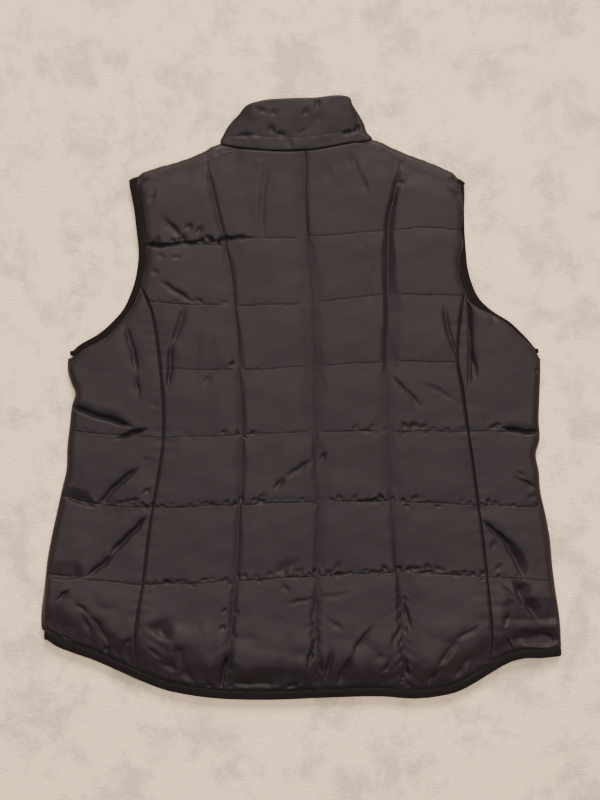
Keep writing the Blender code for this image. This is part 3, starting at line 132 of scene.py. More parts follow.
# ------------------------------------------------ what the cloth does, in mm
# folds pressed into the back: ends x, y, x, y, reach on the left and right of that way, depth, height of the lip
CREASES = [
    (-278, -8, -203, -37, 5.5, 2.2, 5.5, 1.6), (-222, -50, -181, -38, 4, 2.2, 4.6, 1.2),
    (-243, -129, -193, -83, 6.0, 2.0, 4.2, 0.8), (-290, -116, -244, -130, 11, 2.4, 3.6, 0.2),
    (-227, -190, -185, -141, 7.5, 2.2, 5.0, 0.8), (-256, -215, -222, -186, 8, 2.2, 4.6, 0.8),
    (-304, -211, -255, -213, 15, 2.2, 3.4, 0.0), (-292, -242, -272, -225, 2.4, 5, 3.2, 0.5),
    (-270, -242, -250, -257, 2.5, 3, 2.4, 0.8), (-252, -255, -225, -296, 8, 2.4, 3.6, 1.2),
    (-263, -254, -246, -285, 3, 2, 2.0, 1.2), (-236, -302, -226, -294, 3, 3, 3.0, 0.8),
    (-258, -297, -250, -293, 3, 3, 1.6, 0.5), (-306, -281, -267, -291, 5, 2, 3.0, 0.3),
    (-210, -293, -200, -284, 2.5, 2.5, 2.0, 0.8), (-192, -116, -174, -107, 3, 2.5, 1.6, 0.5),
    (-205, -125, -192, -119, 3, 2.5, 2.0, 0.8), (-192, -74, -177, -73, 3, 3, 1.0, 0.3),
    (-182, -5, -166, -12, 2, 2.5, 1.0, 0.3), (-198, 30, -194, -4, 8.5, 7, 2.8, 0.2),
    (-207, 84, -197, 26, 8.5, 7, 3.6, 0.3), (-186, -268, -150, -289, 12, 4, 4.4, 1.4),
    (-152, -287, -134, -338, 16, 5, 4.2, 1.6), (-132, -268, -103, -326, -5, -12, -2.2, 0.0),
    (-187, -292, -160, -312, 3, 9, 2.2, 0.4), (-96, -255, -87, -249, 2.5, 2.5, 2.2, 0.6),
    (-102, -271, -86, -274, 2.5, 2.5, 2.2, 0.5), (-97, -347, -86, -300, 6.5, 3.0, 6.0, 0.8),
    (-95, -322, -84, -306, 3, 3, 2.6, 0.6), (-114, -350, -107, -337, 3, 3, 3.0, 0.8),
    (-130, -346, -121, -341, 3, 3, 2.6, 0.8), (-85, -311, -40, -309, -16, -9, -1.6, 0.0),
    (-44, -309, -8, -324, -14, -8, -1.6, 0.0), (-68, -350, -44, -348, 4, 3, 3.0, 0.8),
    (-24, -350, -2, -337, 4, 3, 3.6, 0.8), (-36, -213, -2, -192, 9, 3, 2.4, 0.6),
    (-21, -245, 16, -237, 2.5, 3, 1.6, 0.4), (15, -237, 62, -231, 2.5, 3, 1.2, 0.3),
    (-27, -217, -14, -234, 3, 4, 1.6, 0.3), (-75, -281, -50, -286, 3, 4, 1.0, 0.3),
    (6, -320, 16, -291, 3, 3, 3.0, 1.2), (9, -306, 20, -280, 2.4, 2.4, 1.4, 0.8),
    (29, -336, 35, -296, 6, 2.5, 3.2, 0.8), (20, -330, 23, -300, 2.4, 2.4, 2.0, 0.8),
    (28, -262, 50, -277, 4, 2.5, 2.4, 0.6), (38, -208, 46, -192, 2.4, 2.4, 1.8, 0.6),
    (40, -344, 62, -300, 2.6, 10, 4.6, 1.2), (59, -306, 85, -267, 2.4, 12, 3.8, 1.0),
    (116, -238, 131, -277, 2.5, 2.5, 2.0, 0.6), (104, -294, 118, -271, 3, 2.5, 3.2, 1.0),
    (91, -328, 107, -311, 4, 2.5, 3.0, 1.0), (84, -312, 98, -302, 3, 2.5, 1.6, 0.6),
    (118, -300, 124, -330, 3, 3, 2.2, 0.8), (146, -344, 165, -316, 7, 2.5, 4.4, 1.2),
    (160, -322, 183, -284, 7, 2.5, 3.6, 1.0), (178, -288, 214, -268, 6, 2.5, 2.4, 0.8),
    (176, -338, 202, -304, 7, 3, 1.8, 1.0), (214, -145, 246, -178, 7, 2, 4.6, 1.0),
    (238, -166, 262, -216, 9, 2, 5.6, 1.0), (249, -214, 262, -248, 12, 3, 5.6, 1.0),
    (256, -236, 284, -268, 11, 3, 5.2, 0.8), (230, -218, 254, -240, 2.4, 2.4, 1.4, 1.0),
    (222, -183, 231, -166, 3, 3, 1.4, 0.8), (226, -206, 240, -196, 3, 3, 1.6, 0.8),
    (236, -272, 247, -254, 3.5, 3, 4.0, 0.8), (236, -279, 249, -302, 4, 9, 3.6, 0.6),
    (262, -291, 306, -297, 12, 2.4, 3.6, 0.4), (250, -283, 296, -272, 10, 8, 1.6, 0.4),
    (234, -37, 286, -43, 5, 2.4, 4.6, 1.0), (218, -38, 238, -31, 3, 3, 1.8, 0.8),
    (250, -86, 268, -97, 3, 2.5, 1.4, 0.8), (246, -92, 283, -113, 3, 3, 1.8, 0.9),
    (262, -122, 286, -113, 3, 3, 1.2, 0.8), (270, 27, 284, 26, 2.5, 2, 1.8, 0.8),
    (214, 97, 230, 72, 2.5, 2.5, 1.2, 0.4), (198, 16, 197, 116, 2.2, 5.5, 5.6, 0.4),
    (206, 18, 201, 62, 3, 5, 2.6, 0.3), (182, 46, 168, 110, 3, 6, 2.6, 0.4), (171, 168, 149, 194, 2.2, 2.4, 1.0, 0.3),
    (79, 169, 67, 192, 2.2, 2.4, 1.1, 0.3), (79, 110, 80, 142, 4, 4, 1.2, 0.3), (79, 138, 88, 158, 3, 4, 1.0, 0.3),
    (106, 26, 142, -16, 3, 2.2, 2.6, 0.8), (139, 20, 184, -7, 2.2, 2.4, 1.5, 0.5),
    (115, -28, 127, -40, 3, 2.5, 2.2, 0.9), (129, -28, 139, -39, 3, 2.5, 2.2, 0.9),
    (138, -38, 149, -32, 3, 3, 1.8, 0.9), (60, -41, 66, -30, 2.2, 2.2, 1.6, 0.6), (56, 292, 78, 238, 3, 9, 1.6, 0.3),
    (26, 288, 33, 250, 3, 6, 1.0, 0.3), (112, 246, 105, 222, 2.4, 2.4, 1.8, 0.4),
    (126, 256, 108, 254, 5, 3, 2.2, 0.4), (92, 288, 128, 262, -4, -8, -1.0, 0.0),
    (165, 250, 186, 226, 4, 2.4, 2.0, 0.6), (175, 221, 188, 202, 3, 2.4, 2.4, 0.6),
    (-167, 216, -142, 186, 3.5, 5, 3.4, 0.8), (-139, 198, -128, 205, 4, 4, 2.8, 0.9),
    (-126, 191, -116, 205, 3, 3, 2.4, 0.9), (-117, 192, -102, 183, 3, 2.4, 3.0, 0.8),
    (-188, 181, -156, 179, 4.5, 3, 5.4, 1.0), (-194, 192, -184, 183, 3, 3, 3.0, 0.6),
    (-194, 174, -182, 178, 3, 3, 3.0, 0.6), (-158, 182, -120, 181, 3.4, 2.6, 2.2, 0.8),
    (-110, 183, -57, 190, 3, 2.2, 2.4, 0.4), (-180, 148, -166, 147, 3, 3, 1.8, 0.6),
    (-155, 163, -142, 168, 3, 3, 1.8, 1.0), (-172, 170, -162, 164, 3, 3, 1.4, 1.0),
    (-170, 140, -129, 110, 3, 2.6, 2.6, 0.6), (-125, 118, -117, 110, 2.2, 2.2, 2.2, 0.6),
    (-174, 248, -181, 227, 2.4, 2.4, 1.6, 0.5), (-197, 248, -187, 240, 3, 3, 2.2, 0.8),
    (-193, 238, -183, 243, 2.5, 3, 1.6, 0.8), (-154, 60, -138, 110, 3, 5.5, 2.6, 0.4),
    (-160, 8, -153, 66, 4, 5.5, 2.6, 0.4), (-131, 22, -121, 82, 3, 5, 1.0, 0.3), (-121, 10, -102, 30, 4, 4, 1.4, 0.6),
    (-87, 35, -79, 44, 2, 2, 2.2, 0.5), (-97, -44, -88, -38, 2, 2, 1.8, 0.5),
    (-34, -111, -18, -93, 4.5, 2.2, 3.2, 0.7), (-22, -96, 15, -74, 4.5, 2.2, 3.0, 0.7),
    (20, -75, 30, -65, 2.4, 2.2, 2.8, 0.6), (-55, -123, -41, -113, 2.4, 2.4, 1.6, 0.6),
    (-47, 188, -44, 274, 3, 9, 1.6, 0.5), (-56, 285, -49, 269, -4, -3, -1.0, 0.0),
    (-100, 82, -103, 56, -3, -3, -0.7, 0.0), (-112, -6, -86, 21, -4, -3, -0.8, 0.0),
    (-148, -34, -128, -52, 4, 4, 0.9, 0.3), (-31, -250, -16, -264, -3, -4, -1.0, 0.0),
    (58, -62, 56, -88, -2, -2, -0.7, 0.0), (-152, -266, -128, -332, 12, 16, -3.0, 0.0),
    (-118, -262, -104, -320, 9, 9, -2.6, 0.0), (-88, -306, -20, -309, 9, 18, -3.6, 0.0),
    (-6, -300, 12, -342, 9, 9, -2.4, 0.0), (52, -290, 76, -342, 10, 9, -2.8, 0.0),
    (102, -296, 86, -340, 9, 9, -2.4, 0.0), (138, -300, 178, -332, 9, 14, -2.8, 0.0),
    (-240, -266, -203, -290, 9, 14, -2.8, 0.0), (232, -264, 309, -261, 20, 7, 4.4, 0.0),
    (240, -284, 308, -290, 16, 5, 4.2, 0.0), (-84, -338, -26, -342, 16, 4, 2.6, 0.0),
    (-172, -312, -140, -326, 14, 5, 3.0, 0.0)]
COLLAR_CREASES = [
    (-57, 344, -40, 336, 2.4, 4, 2.6, 0.8), (-43, 337, -25, 336, 2.4, 4, 2.4, 0.8),
    (10, 344, -2, 334, 4, 2.4, 2.2, 0.6), (19, 340, 18, 356, 3, 2.4, 1.8, 0.6),
    (-42, 324, -31, 312, 3, 2.4, 2.4, 0.8), (-33, 313, -19, 311, 3, 2.4, 2.2, 0.6),
    (6, 320, -5, 311, 3, 2.4, 1.6, 0.5), (44, 312, 63, 315, 3.4, 2.4, 2.4, 0.8), (60, 314, 76, 326, 5, 2.6, 4.2, 0.8),
    (-84, 309, -48, 312, 3, 2.4, 1.4, 0.6), (28, 342, 14, 322, 4, 3, 1.2, 0.5), (-66, 334, -58, 322, 5, 4, 1.0, 0.4),
    (-28, 296, -27, 309, 4, 3, 0.9, 0.5), (-14, 296, -16, 309, 4, 3, 0.9, 0.5), (22, 299, 20, 311, 4, 3, 0.8, 0.5)]
# how far an upright row pulls the cloth down, and its reach to the left and right: (y, depth, left, right)
BESIDE = {
    "1": [
        (-360, 1.9, 6, 6), (-215, 2.0, 6, 6), (-44, 2.0, 10, 6), (34, 2.1, 8, 7), (60, 2.1, 23, 6), (100, 2.1, 19, 6),
        (180, 2.1, 7, 5), (290, 1.9, 6, 5)],
    "2": [
        (-360, 2.5, 6, 7), (-215, 1.7, 7, 7), (-130, 1.7, 7, 13), (-78, 1.7, 6, 18), (-44, 1.9, 7, 7),
        (-25, 2.6, 15, 15), (100, 2.0, 16, 13), (180, 2.0, 14, 13), (196, 1.9, 14, 5), (290, 1.6, 13, 5)],
    "3": [
        (-360, 3.7, 7, 18), (-300, 3.7, 6, 24), (-215, 3.7, 6, 26), (-190, 2.1, 6, 24), (-126, 2.0, 7, 20),
        (-100, 1.9, 13, 13), (25, 2.0, 13, 13), (41, 3.8, 7, 20), (100, 4.5, 7, 20), (128, 4.8, 8, 11),
        (190, 4.8, 7, 8), (222, 3.7, 6, 6), (258, 1.9, 6, 5), (290, 1.5, 5, 7)]}
# how far the padding hangs over each binding: (y, reach), or (x, reach) on the hem
OVER = {
    "armhole_left": [(40, 5.5), (100, 5.5), (130, 5), (150, 3.2), (262, 3.0)],
    "armhole_right": [
        (40, 11), (84, 11), (98, 7), (112, 1.5), (140, 1.5), (162, 5), (182, 10.5), (200, 12.6), (240, 12.6),
        (254, 9), (262, 7)],
    "hem": [(-312, 2.5), (-262, 2), (-190, 0.5), (-60, 0.5), (80, 0.5), (200, 0.5), (250, 2), (312, 3)]}
# how hard the thread gathers the cloth beside each row across: (x, strength)
GATHERS = {
    "F": [
        (-300, 0.2), (-240, 0.3), (-188, 0.9), (-150, 1.5), (-100, 0.9), (-40, 0.9), (10, 1.5), (40, 1.0), (90, 1.3),
        (118, 1.8), (160, 1.3), (205, 1.1), (230, 0.5), (300, 0.3)],
    "E": [
        (-290, 0.3), (-205, 1.0), (-180, 0.9), (-130, 0.9), (-60, 0.9), (-30, 0.7), (20, 0.8), (60, 1.3), (100, 1.4),
        (160, 0.8), (205, 0.8), (290, 0.5)],
    "D": [
        (-280, 0.4), (-100, 0.3), (-75, 0.9), (-40, 0.3), (50, 0.5), (66, 0.9), (100, 0.4), (120, 1.2), (150, 1.0),
        (190, 0.4), (284, 0.6)],
    "C": [(-171, 0.3), (-95, 0.4), (-75, 0.9), (-50, 0.2), (97, 0.3), (186, 0.5)],
    "B": [(-186, 0.5), (-130, 0.6), (-50, 0.4), (10, 0.2), (194, 0.3)],
    "A": [(-197, 1.2), (-150, 1.6), (-115, 1.8), (-89, 0.8), (0, 0.2), (196, 0.2)]}
PLATEAU, TOP = 7.0, 26.0   # the padding's full rise over the wall, and the height that nothing passes
BACK_FLOOR = BACK_LOW + 1.7
ROW_DEEP, SEAM_DEEP, MOST_DEEP = 1.3, 6.4, 6.6
ROLL_HIGH, ROLL_IN, ROLL_REACH = 4.6, 46, (58, 21)   # the swell above the hem: up, in, and to both sides
SQUARE, STEP, SIDE_STEP, FRONT_STEP = 98, 1.75, 1.3, 4.6   # a quilted square, and the meshes' steps

# ------------------------------------------------ curves
def smooth(table):
    t = sorted(table)
    a, b = np.array([p[0] for p in t], float), np.array([p[1] for p in t], float)
    s = np.diff(b) / np.diff(a)
    m = np.concatenate([[s[0]], (s[1:] + s[:-1]) / 2, [s[-1]]])
    xs = np.concatenate([np.linspace(a[i], a[i + 1], 24, endpoint=False) for i in range(len(s))] + [a[-1:]])
    i = np.clip(np.searchsorted(a, xs, side="right") - 1, 0, len(s) - 1)
    h = a[i + 1] - a[i]
    k = (xs - a[i]) / h
    ys = ((2 * k**3 - 3 * k**2 + 1) * b[i] + (k**3 - 2 * k**2 + k) * h * m[i]
          + (-2 * k**3 + 3 * k**2) * b[i + 1] + (k**3 - k**2) * h * m[i + 1])
    return lambda x: np.interp(x, xs, ys)


def xy(x, y):
    return np.stack(np.broadcast_arrays(np.asarray(x, float), np.asarray(y, float)), -1)


def run_of(p):
    """How far along a line each of its points is."""
    return np.concatenate([[0], np.cumsum(np.linalg.norm(np.diff(p, axis=0), axis=1))])


def path(points):
    p = np.array(points, float)
    run = run_of(p)
    fx, fy = smooth(list(zip(run, p[:, 0]))), smooth(list(zip(run, p[:, 1])))
    return lambda t: xy(fx(np.asarray(t) * run[-1]), fy(np.asarray(t) * run[-1]))


def dense(curve, n=160):
    return curve(np.linspace(0, 1, n + 1))


def distance(p, line, way=False):
    """How far points are from a line and, if asked, the way to it."""
    p = np.asarray(p, float)
    flat = p.reshape(-1, 2)
    best, to = np.full(len(flat), 1e9), np.zeros((len(flat), 2))
    for q, v in zip(line[:-1], np.diff(line, axis=0)):
        k = np.clip(((flat - q) @ v) / max(float(v @ v), 1e-9), 0, 1)
        gap = q + k[:, None] * v - flat
        d = (gap ** 2).sum(1)
        near = d < best
        best[near] = d[near]
        if way:
            to[near] = gap[near]
    best = np.sqrt(best)
    if way:
        return best.reshape(p.shape[:-1]), (to / np.maximum(best, 1e-6)[:, None]).reshape(p.shape)
    return best.reshape(p.shape[:-1])


def nearest_share(p, line):
    return int(((line - p) ** 2).sum(1).argmin()) / (len(line) - 1)


def unit(v):
    return v / np.linalg.norm(v, axis=-1, keepdims=True)


def left_of(d):
    return np.stack([-d[..., 1], d[..., 0]], -1)


def heading(curve, t, reach=0.03):
    t = np.asarray(t)
    return unit(curve(np.minimum(t + reach, 1)) - curve(np.maximum(t - reach, 0)))


def inward(curve, t, side):
    return side * left_of(heading(curve, t))


def ramp(k):
    return np.clip(k, 0.0, 1.0)


def mix(a, b, k):
    return a * (1 - k) + b * k


def loft(d, reach=30.0):
    k = ramp(np.asarray(d, float) / reach)
    return k * (2 - k)


def ease(k):
    return k * k * (3 - 2 * k)


def col(k):
    return np.asarray(k, float)[..., None]


def lift(p, z):
    """Points of the plan at height z."""
    return np.concatenate([p, col(np.broadcast_to(z, p.shape[:-1]))], -1)


def coons(low, high, left, right):
    c00, c10, c01, c11 = low(0.0), low(1.0), high(0.0), high(1.0)

    def at(u, v):
        u, v = np.broadcast_arrays(np.asarray(u, float), np.asarray(v, float))
        return (mix(low(u), high(u), col(v)) + mix(left(v), right(v), col(u))
                - mix(mix(c00, c10, col(u)), mix(c01, c11, col(u)), col(v)))
    return at


def straight(a, b):
    a, b = np.array(a, float), np.array(b, float)
    return lambda k: mix(a, b, col(k))


def hem_in(x, d, table):
    slope = (table(np.asarray(x) + 2) - table(np.asarray(x) - 2)) / 4
    return table(x) + d * np.sqrt(1 + slope * slope)


def along_row(row, a, b):
    def at(u):
        x = a[0] + (b[0] - a[0]) * np.asarray(u, float)
        return xy(x, row(x) + mix(a[1] - row(a[0]), b[1] - row(b[0]), np.asarray(u, float)))
    return at


def up_col(c, a, b):
    def at(v):
        y = a[1] + (b[1] - a[1]) * np.asarray(v, float)
        return xy(c(y) + mix(a[0] - c(a[1]), b[0] - c(b[1]), np.asarray(v, float)), y)
    return at


def crossing(c, row, y):
    for _ in range(60):
        x = c(y)
        y = row(x)
    return np.array([float(x), float(y)])


def share_at(curve, axis, value, falls=False):
    a, b = 0.0, 1.0
    for _ in range(50):
        m = (a + b) / 2
        a, b = (m, b) if (curve(m)[axis] < value) != falls else (a, m)
    return a


armholes = {side: path(ARMHOLE[side]) for side in SIGN}
LINES = {"hem": dense(path(HEM_BACK))}
for name in SIGN:
    LINES["side_" + name], LINES["armhole_" + name] = dense(path(SIDE[name])), dense(armholes[name])
seams, rows, ups, gathers = ({k: smooth(t) for k, t in table.items()} for table in (SEAM, ACROSS, UP, GATHERS))
side_x = {k: smooth([(y, x) for x, y in t]) for k, t in SIDE.items()}
hem_y, top_y = smooth(HEM_BACK), smooth(TOP_EDGE)
HEM_LINES = [lambda x, d=d: hem_in(x, d, hem_y) for d in (TUCK, BINDING + 1.2, BINDING + 2.8)]


# ------------------------------------------------ small irregularities
def waves(p, length, seed, count=7):
    """A smooth random height of about 1 whose bumps are about length apart."""
    rng = np.random.default_rng(seed)
    x, y = p[..., 0], p[..., 1]
    total = np.zeros(x.shape)
    for _ in range(count):
        a, f, ph = rng.uniform(0, math.pi), rng.uniform(0.7, 1.5) / length, rng.uniform(0, 6.28)
        total += np.sin(6.283 * f * (x * math.cos(a) + y * math.sin(a)) + ph)
    return total / math.sqrt(count)


def ripples(a, seed, pitch=10.0):
    """Uneven gathers along a."""
    rng = np.random.default_rng(seed)
    p = rng.uniform(0, 6.28, 4)
    warp = 2.2 * np.sin(a / 23 + p[0]) + 1.4 * np.sin(a / 9.7 + p[1])
    one = np.sin(6.283 * (a + warp) / pitch + p[2])
    return (np.abs(one) ** 0.7 * np.sign(one)) * (0.62 + 0.38 * np.sin(a / 17 + p[3]))


def creases(p, table):
    """Folds pressed into the cloth: steep on the left of their direction, drawn out on the right."""
    shape = p.shape[:-1]
    flat, total = p.reshape(-1, 2), np.zeros(shape).reshape(-1)
    for n, (x0, y0, x1, y1, left, right, depth, lip) in enumerate(table):
        a, b = np.array([x0, y0], float), np.array([x1, y1], float)
        room = 3.2 * max(abs(left), abs(right)) + 5
        near = np.nonzero(((flat > np.minimum(a, b) - room) & (flat < np.maximum(a, b) + room)).all(1))[0]
        if not len(near):
            continue
        length = np.linalg.norm(b - a)
        d = (b - a) / length
        k = (flat[near] - a) @ d / length
        off = (flat[near] - a) @ left_of(d) + 0.02 * length * np.sin(k * 5 + n) + 0.4 * np.sin(k * 17 + 2 * n)
        end = ease(ramp(np.minimum(k + 0.05, 1.05 - k) * length / min(20, 0.6 * length)))
        taper = 0.45 + 0.55 * end
        left, right = abs(left), abs(right)

        def share(to_left, to_right):
            return np.where(off > 0, off / to_left, -off / to_right) / taper
        trough = np.exp(-0.9 * share(left, right) ** 2)
        if abs(depth) > 1.2:
            tight = (left, right) if depth < 0 or left > 8.9 else (min(left, 3.4), min(right, 1.7))
            trough = 0.45 * trough + (1.2 if depth > 0 else 0.6) * ramp(1 - np.abs(share(*tight)) / 1.35)
        lips = [np.exp(-1.1 * (off / (reach * taper) - at) ** 2) for reach, at in ((left, 2.3), (right, -2.2))]
        total[near] -= depth * end * trough * (0.9 + 0.1 * np.sin(k * 11 + n))
        total[near] += 0.35 * lip * end * (lips[0] + 0.35 * lips[1])
    return total.reshape(shape)


def puckers():
    """Small slanting creases that the thread draws up from each stitched row and each upright row below F."""
    rng = np.random.default_rng(7)
    table = []

    def add_fold(x, y, x_end, y_end, reach, depth):
        table.append((x, y, x_end, y_end, rng.uniform(*reach), rng.uniform(*reach), depth, 0.45 * depth))
    for r in "FEDCBA":
        x = -300.0
        while x < 300:
            g = float(max(gathers[r](x), 0))
            x += rng.uniform(4.5, 12.5) * (1.0 if g > 0.5 else 1.5)
            if g < 0.25 or (r in "CBA" and not -198 < x < 196) or rng.uniform() > 0.35 + 0.6 * g:
                continue
            y, lean = float(rows[r](x)), rng.normal(0.25, 0.75)
            long = rng.uniform(5, 14) * (0.6 + 0.4 * min(g, 1.6))
            up = 1 if rng.uniform() < 0.86 else -0.5
            depth = rng.uniform(0.9, 2.4) * min(g, 1.7)
            add_fold(x, y + up, x + long * math.sin(lean), y + long * math.cos(lean) * up, (1.8, 4), depth)
    for k, size in (("1", 1.1), ("2", 1.1), ("3", 1.7)):
        y = -212.0
        while y > -345:
            y -= rng.uniform(4, 11)
            way = 1 if rng.uniform() < 0.5 else -1
            x = float(ups[k](y))
            long, slope = rng.uniform(5, 13), rng.normal(-0.75, 0.45)
            depth = rng.uniform(0.5, 1.5) * size * min(1, (-200 - y) / 60)
            add_fold(x + way, y, x + way * long * math.cos(slope), y + long * math.sin(slope), (2, 3.6), depth)
    return table


PUCKERS = puckers()


# ------------------------------------------------ meshes
def put(name, verts, faces, mat, angle=None, slot="shell", replaces=None, body=BODY):
    mesh = bpy.data.meshes.new(name)
    mesh.from_pydata((np.asarray(verts, float) * MM).tolist(), [], faces)
    bm = bmesh.new()
    bm.from_mesh(mesh)
    bmesh.ops.recalc_face_normals(bm, faces=bm.faces)
    bm.to_mesh(mesh)
    bm.free()
    mesh.shade_smooth()
    if angle:
        mesh.set_sharp_from_angle(angle=math.radians(angle))
    ob = bpy.data.objects.new(name, mesh)
    bpy.context.scene.collection.objects.link(ob)
    ob.data.materials.append(mat)
    if replaces:
        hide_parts(replaces)
    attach(ob, body)
    return ob


def slab(name, outer, inner, mat, keep_r, keep_c, **more):
    """A closed wall: a fine outside, and an inside that keeps every keep_r-th row and keep_c-th column."""
    nr, nc = outer.shape[:2]
    kr = sorted(set(range(0, nr, keep_r)) | {nr - 1})
    kc = sorted(set(range(0, nc, keep_c)) | {nc - 1})
    o = np.arange(nr * nc).reshape(nr, nc)
    faces = np.stack([o[:-1, :-1], o[:-1, 1:], o[1:, 1:], o[1:, :-1]], -1).reshape(-1, 4).tolist()
    ids, verts = {}, [outer.reshape(-1, 3)]

    def vid(r, c):
        if (r, c) not in ids:
            ids[(r, c)] = nr * nc + len(ids)
            verts.append(inner[r, c][None])
        return ids[(r, c)]
    for r0, r1 in zip(kr[:-1], kr[1:]):
        for c0, c1 in zip(kc[:-1], kc[1:]):
            f = [(r0, c) for c in (range(c0, c1) if r0 == 0 else [c0])]
            f += [(r, c1) for r in (range(r0, r1) if c1 == nc - 1 else [r0])]
            f += [(r1, c) for c in (range(c1, c0, -1) if r1 == nr - 1 else [c1])]
            f += [(r, c0) for r in (range(r1, r0, -1) if c0 == 0 else [r1])]
            faces.append([vid(r, c) for r, c in reversed(f)])
    ring = ([(0, c) for c in range(nc)] + [(r, nc - 1) for r in range(1, nr)]
            + [(nr - 1, c) for c in range(nc - 2, -1, -1)] + [(r, 0) for r in range(nr - 2, 0, -1)])
    for a, b in zip(ring, ring[1:] + ring[:1]):
        faces.append([int(o[b]), int(o[a]), vid(*a), vid(*b)])
    return put(name, np.concatenate(verts), faces, mat, **more)


def close_in(n, ends=0.55):
    """n steps from 0 to 1, closer together near the stitched lines at both ends."""
    k = np.linspace(0, 1, n + 1)
    return k - ends / 6.283 * np.sin(6.283 * k)


def tube(n, m, base=0, closed=False):
    """The faces of a tube of n rings of m points, its ends closed unless it closes on itself."""
    steps = [(i, (i + 1) % n) for i in range(n if closed else n - 1)]
    faces = [[base + i * m + k, base + i * m + (k + 1) % m, base + j * m + (k + 1) % m, base + j * m + k]
             for i, j in steps for k in range(m)]
    if not closed:
        faces += [[base + k for k in range(m)], [base + (n - 1) * m + k for k in reversed(range(m))]]
    return faces


# ------------------------------------------------ the back
def wrinkle(s, sharp=5.0):
    """0 at s = 0, 1 at s = sharp, fading out beyond."""
    return s / sharp * np.exp(1 - s / sharp)


def tent(k):
    """1 at 0, falling evenly to 0 at 1, with soft corners."""
    k = np.abs(k)
    return np.clip(1 - k, 0, 1) - 0.10 * np.exp(-(k / 0.12) ** 2) + 0.05 * np.exp(-((k - 1) / 0.14) ** 2)


def crevice(k):
    """1 at 0, falling to 0 at 1 as the side of a roll does."""
    return 1 - np.sqrt(1 - (1 - ramp(k)) ** 2)


def soft_ramp(k, soft):
    """0 below 0 and k above it, rounded off over about soft."""
    return np.log1p(np.exp(np.clip(k / soft, -30, 60))) * soft


def beside(name, y):
    t = np.array(BESIDE[name], float)
    return [np.interp(y, t[:, 0], t[:, i]) for i in (1, 2, 3)]


def on_neck(x):
    return ramp((x + 78) / 14) * ramp((70 - x) / 14)


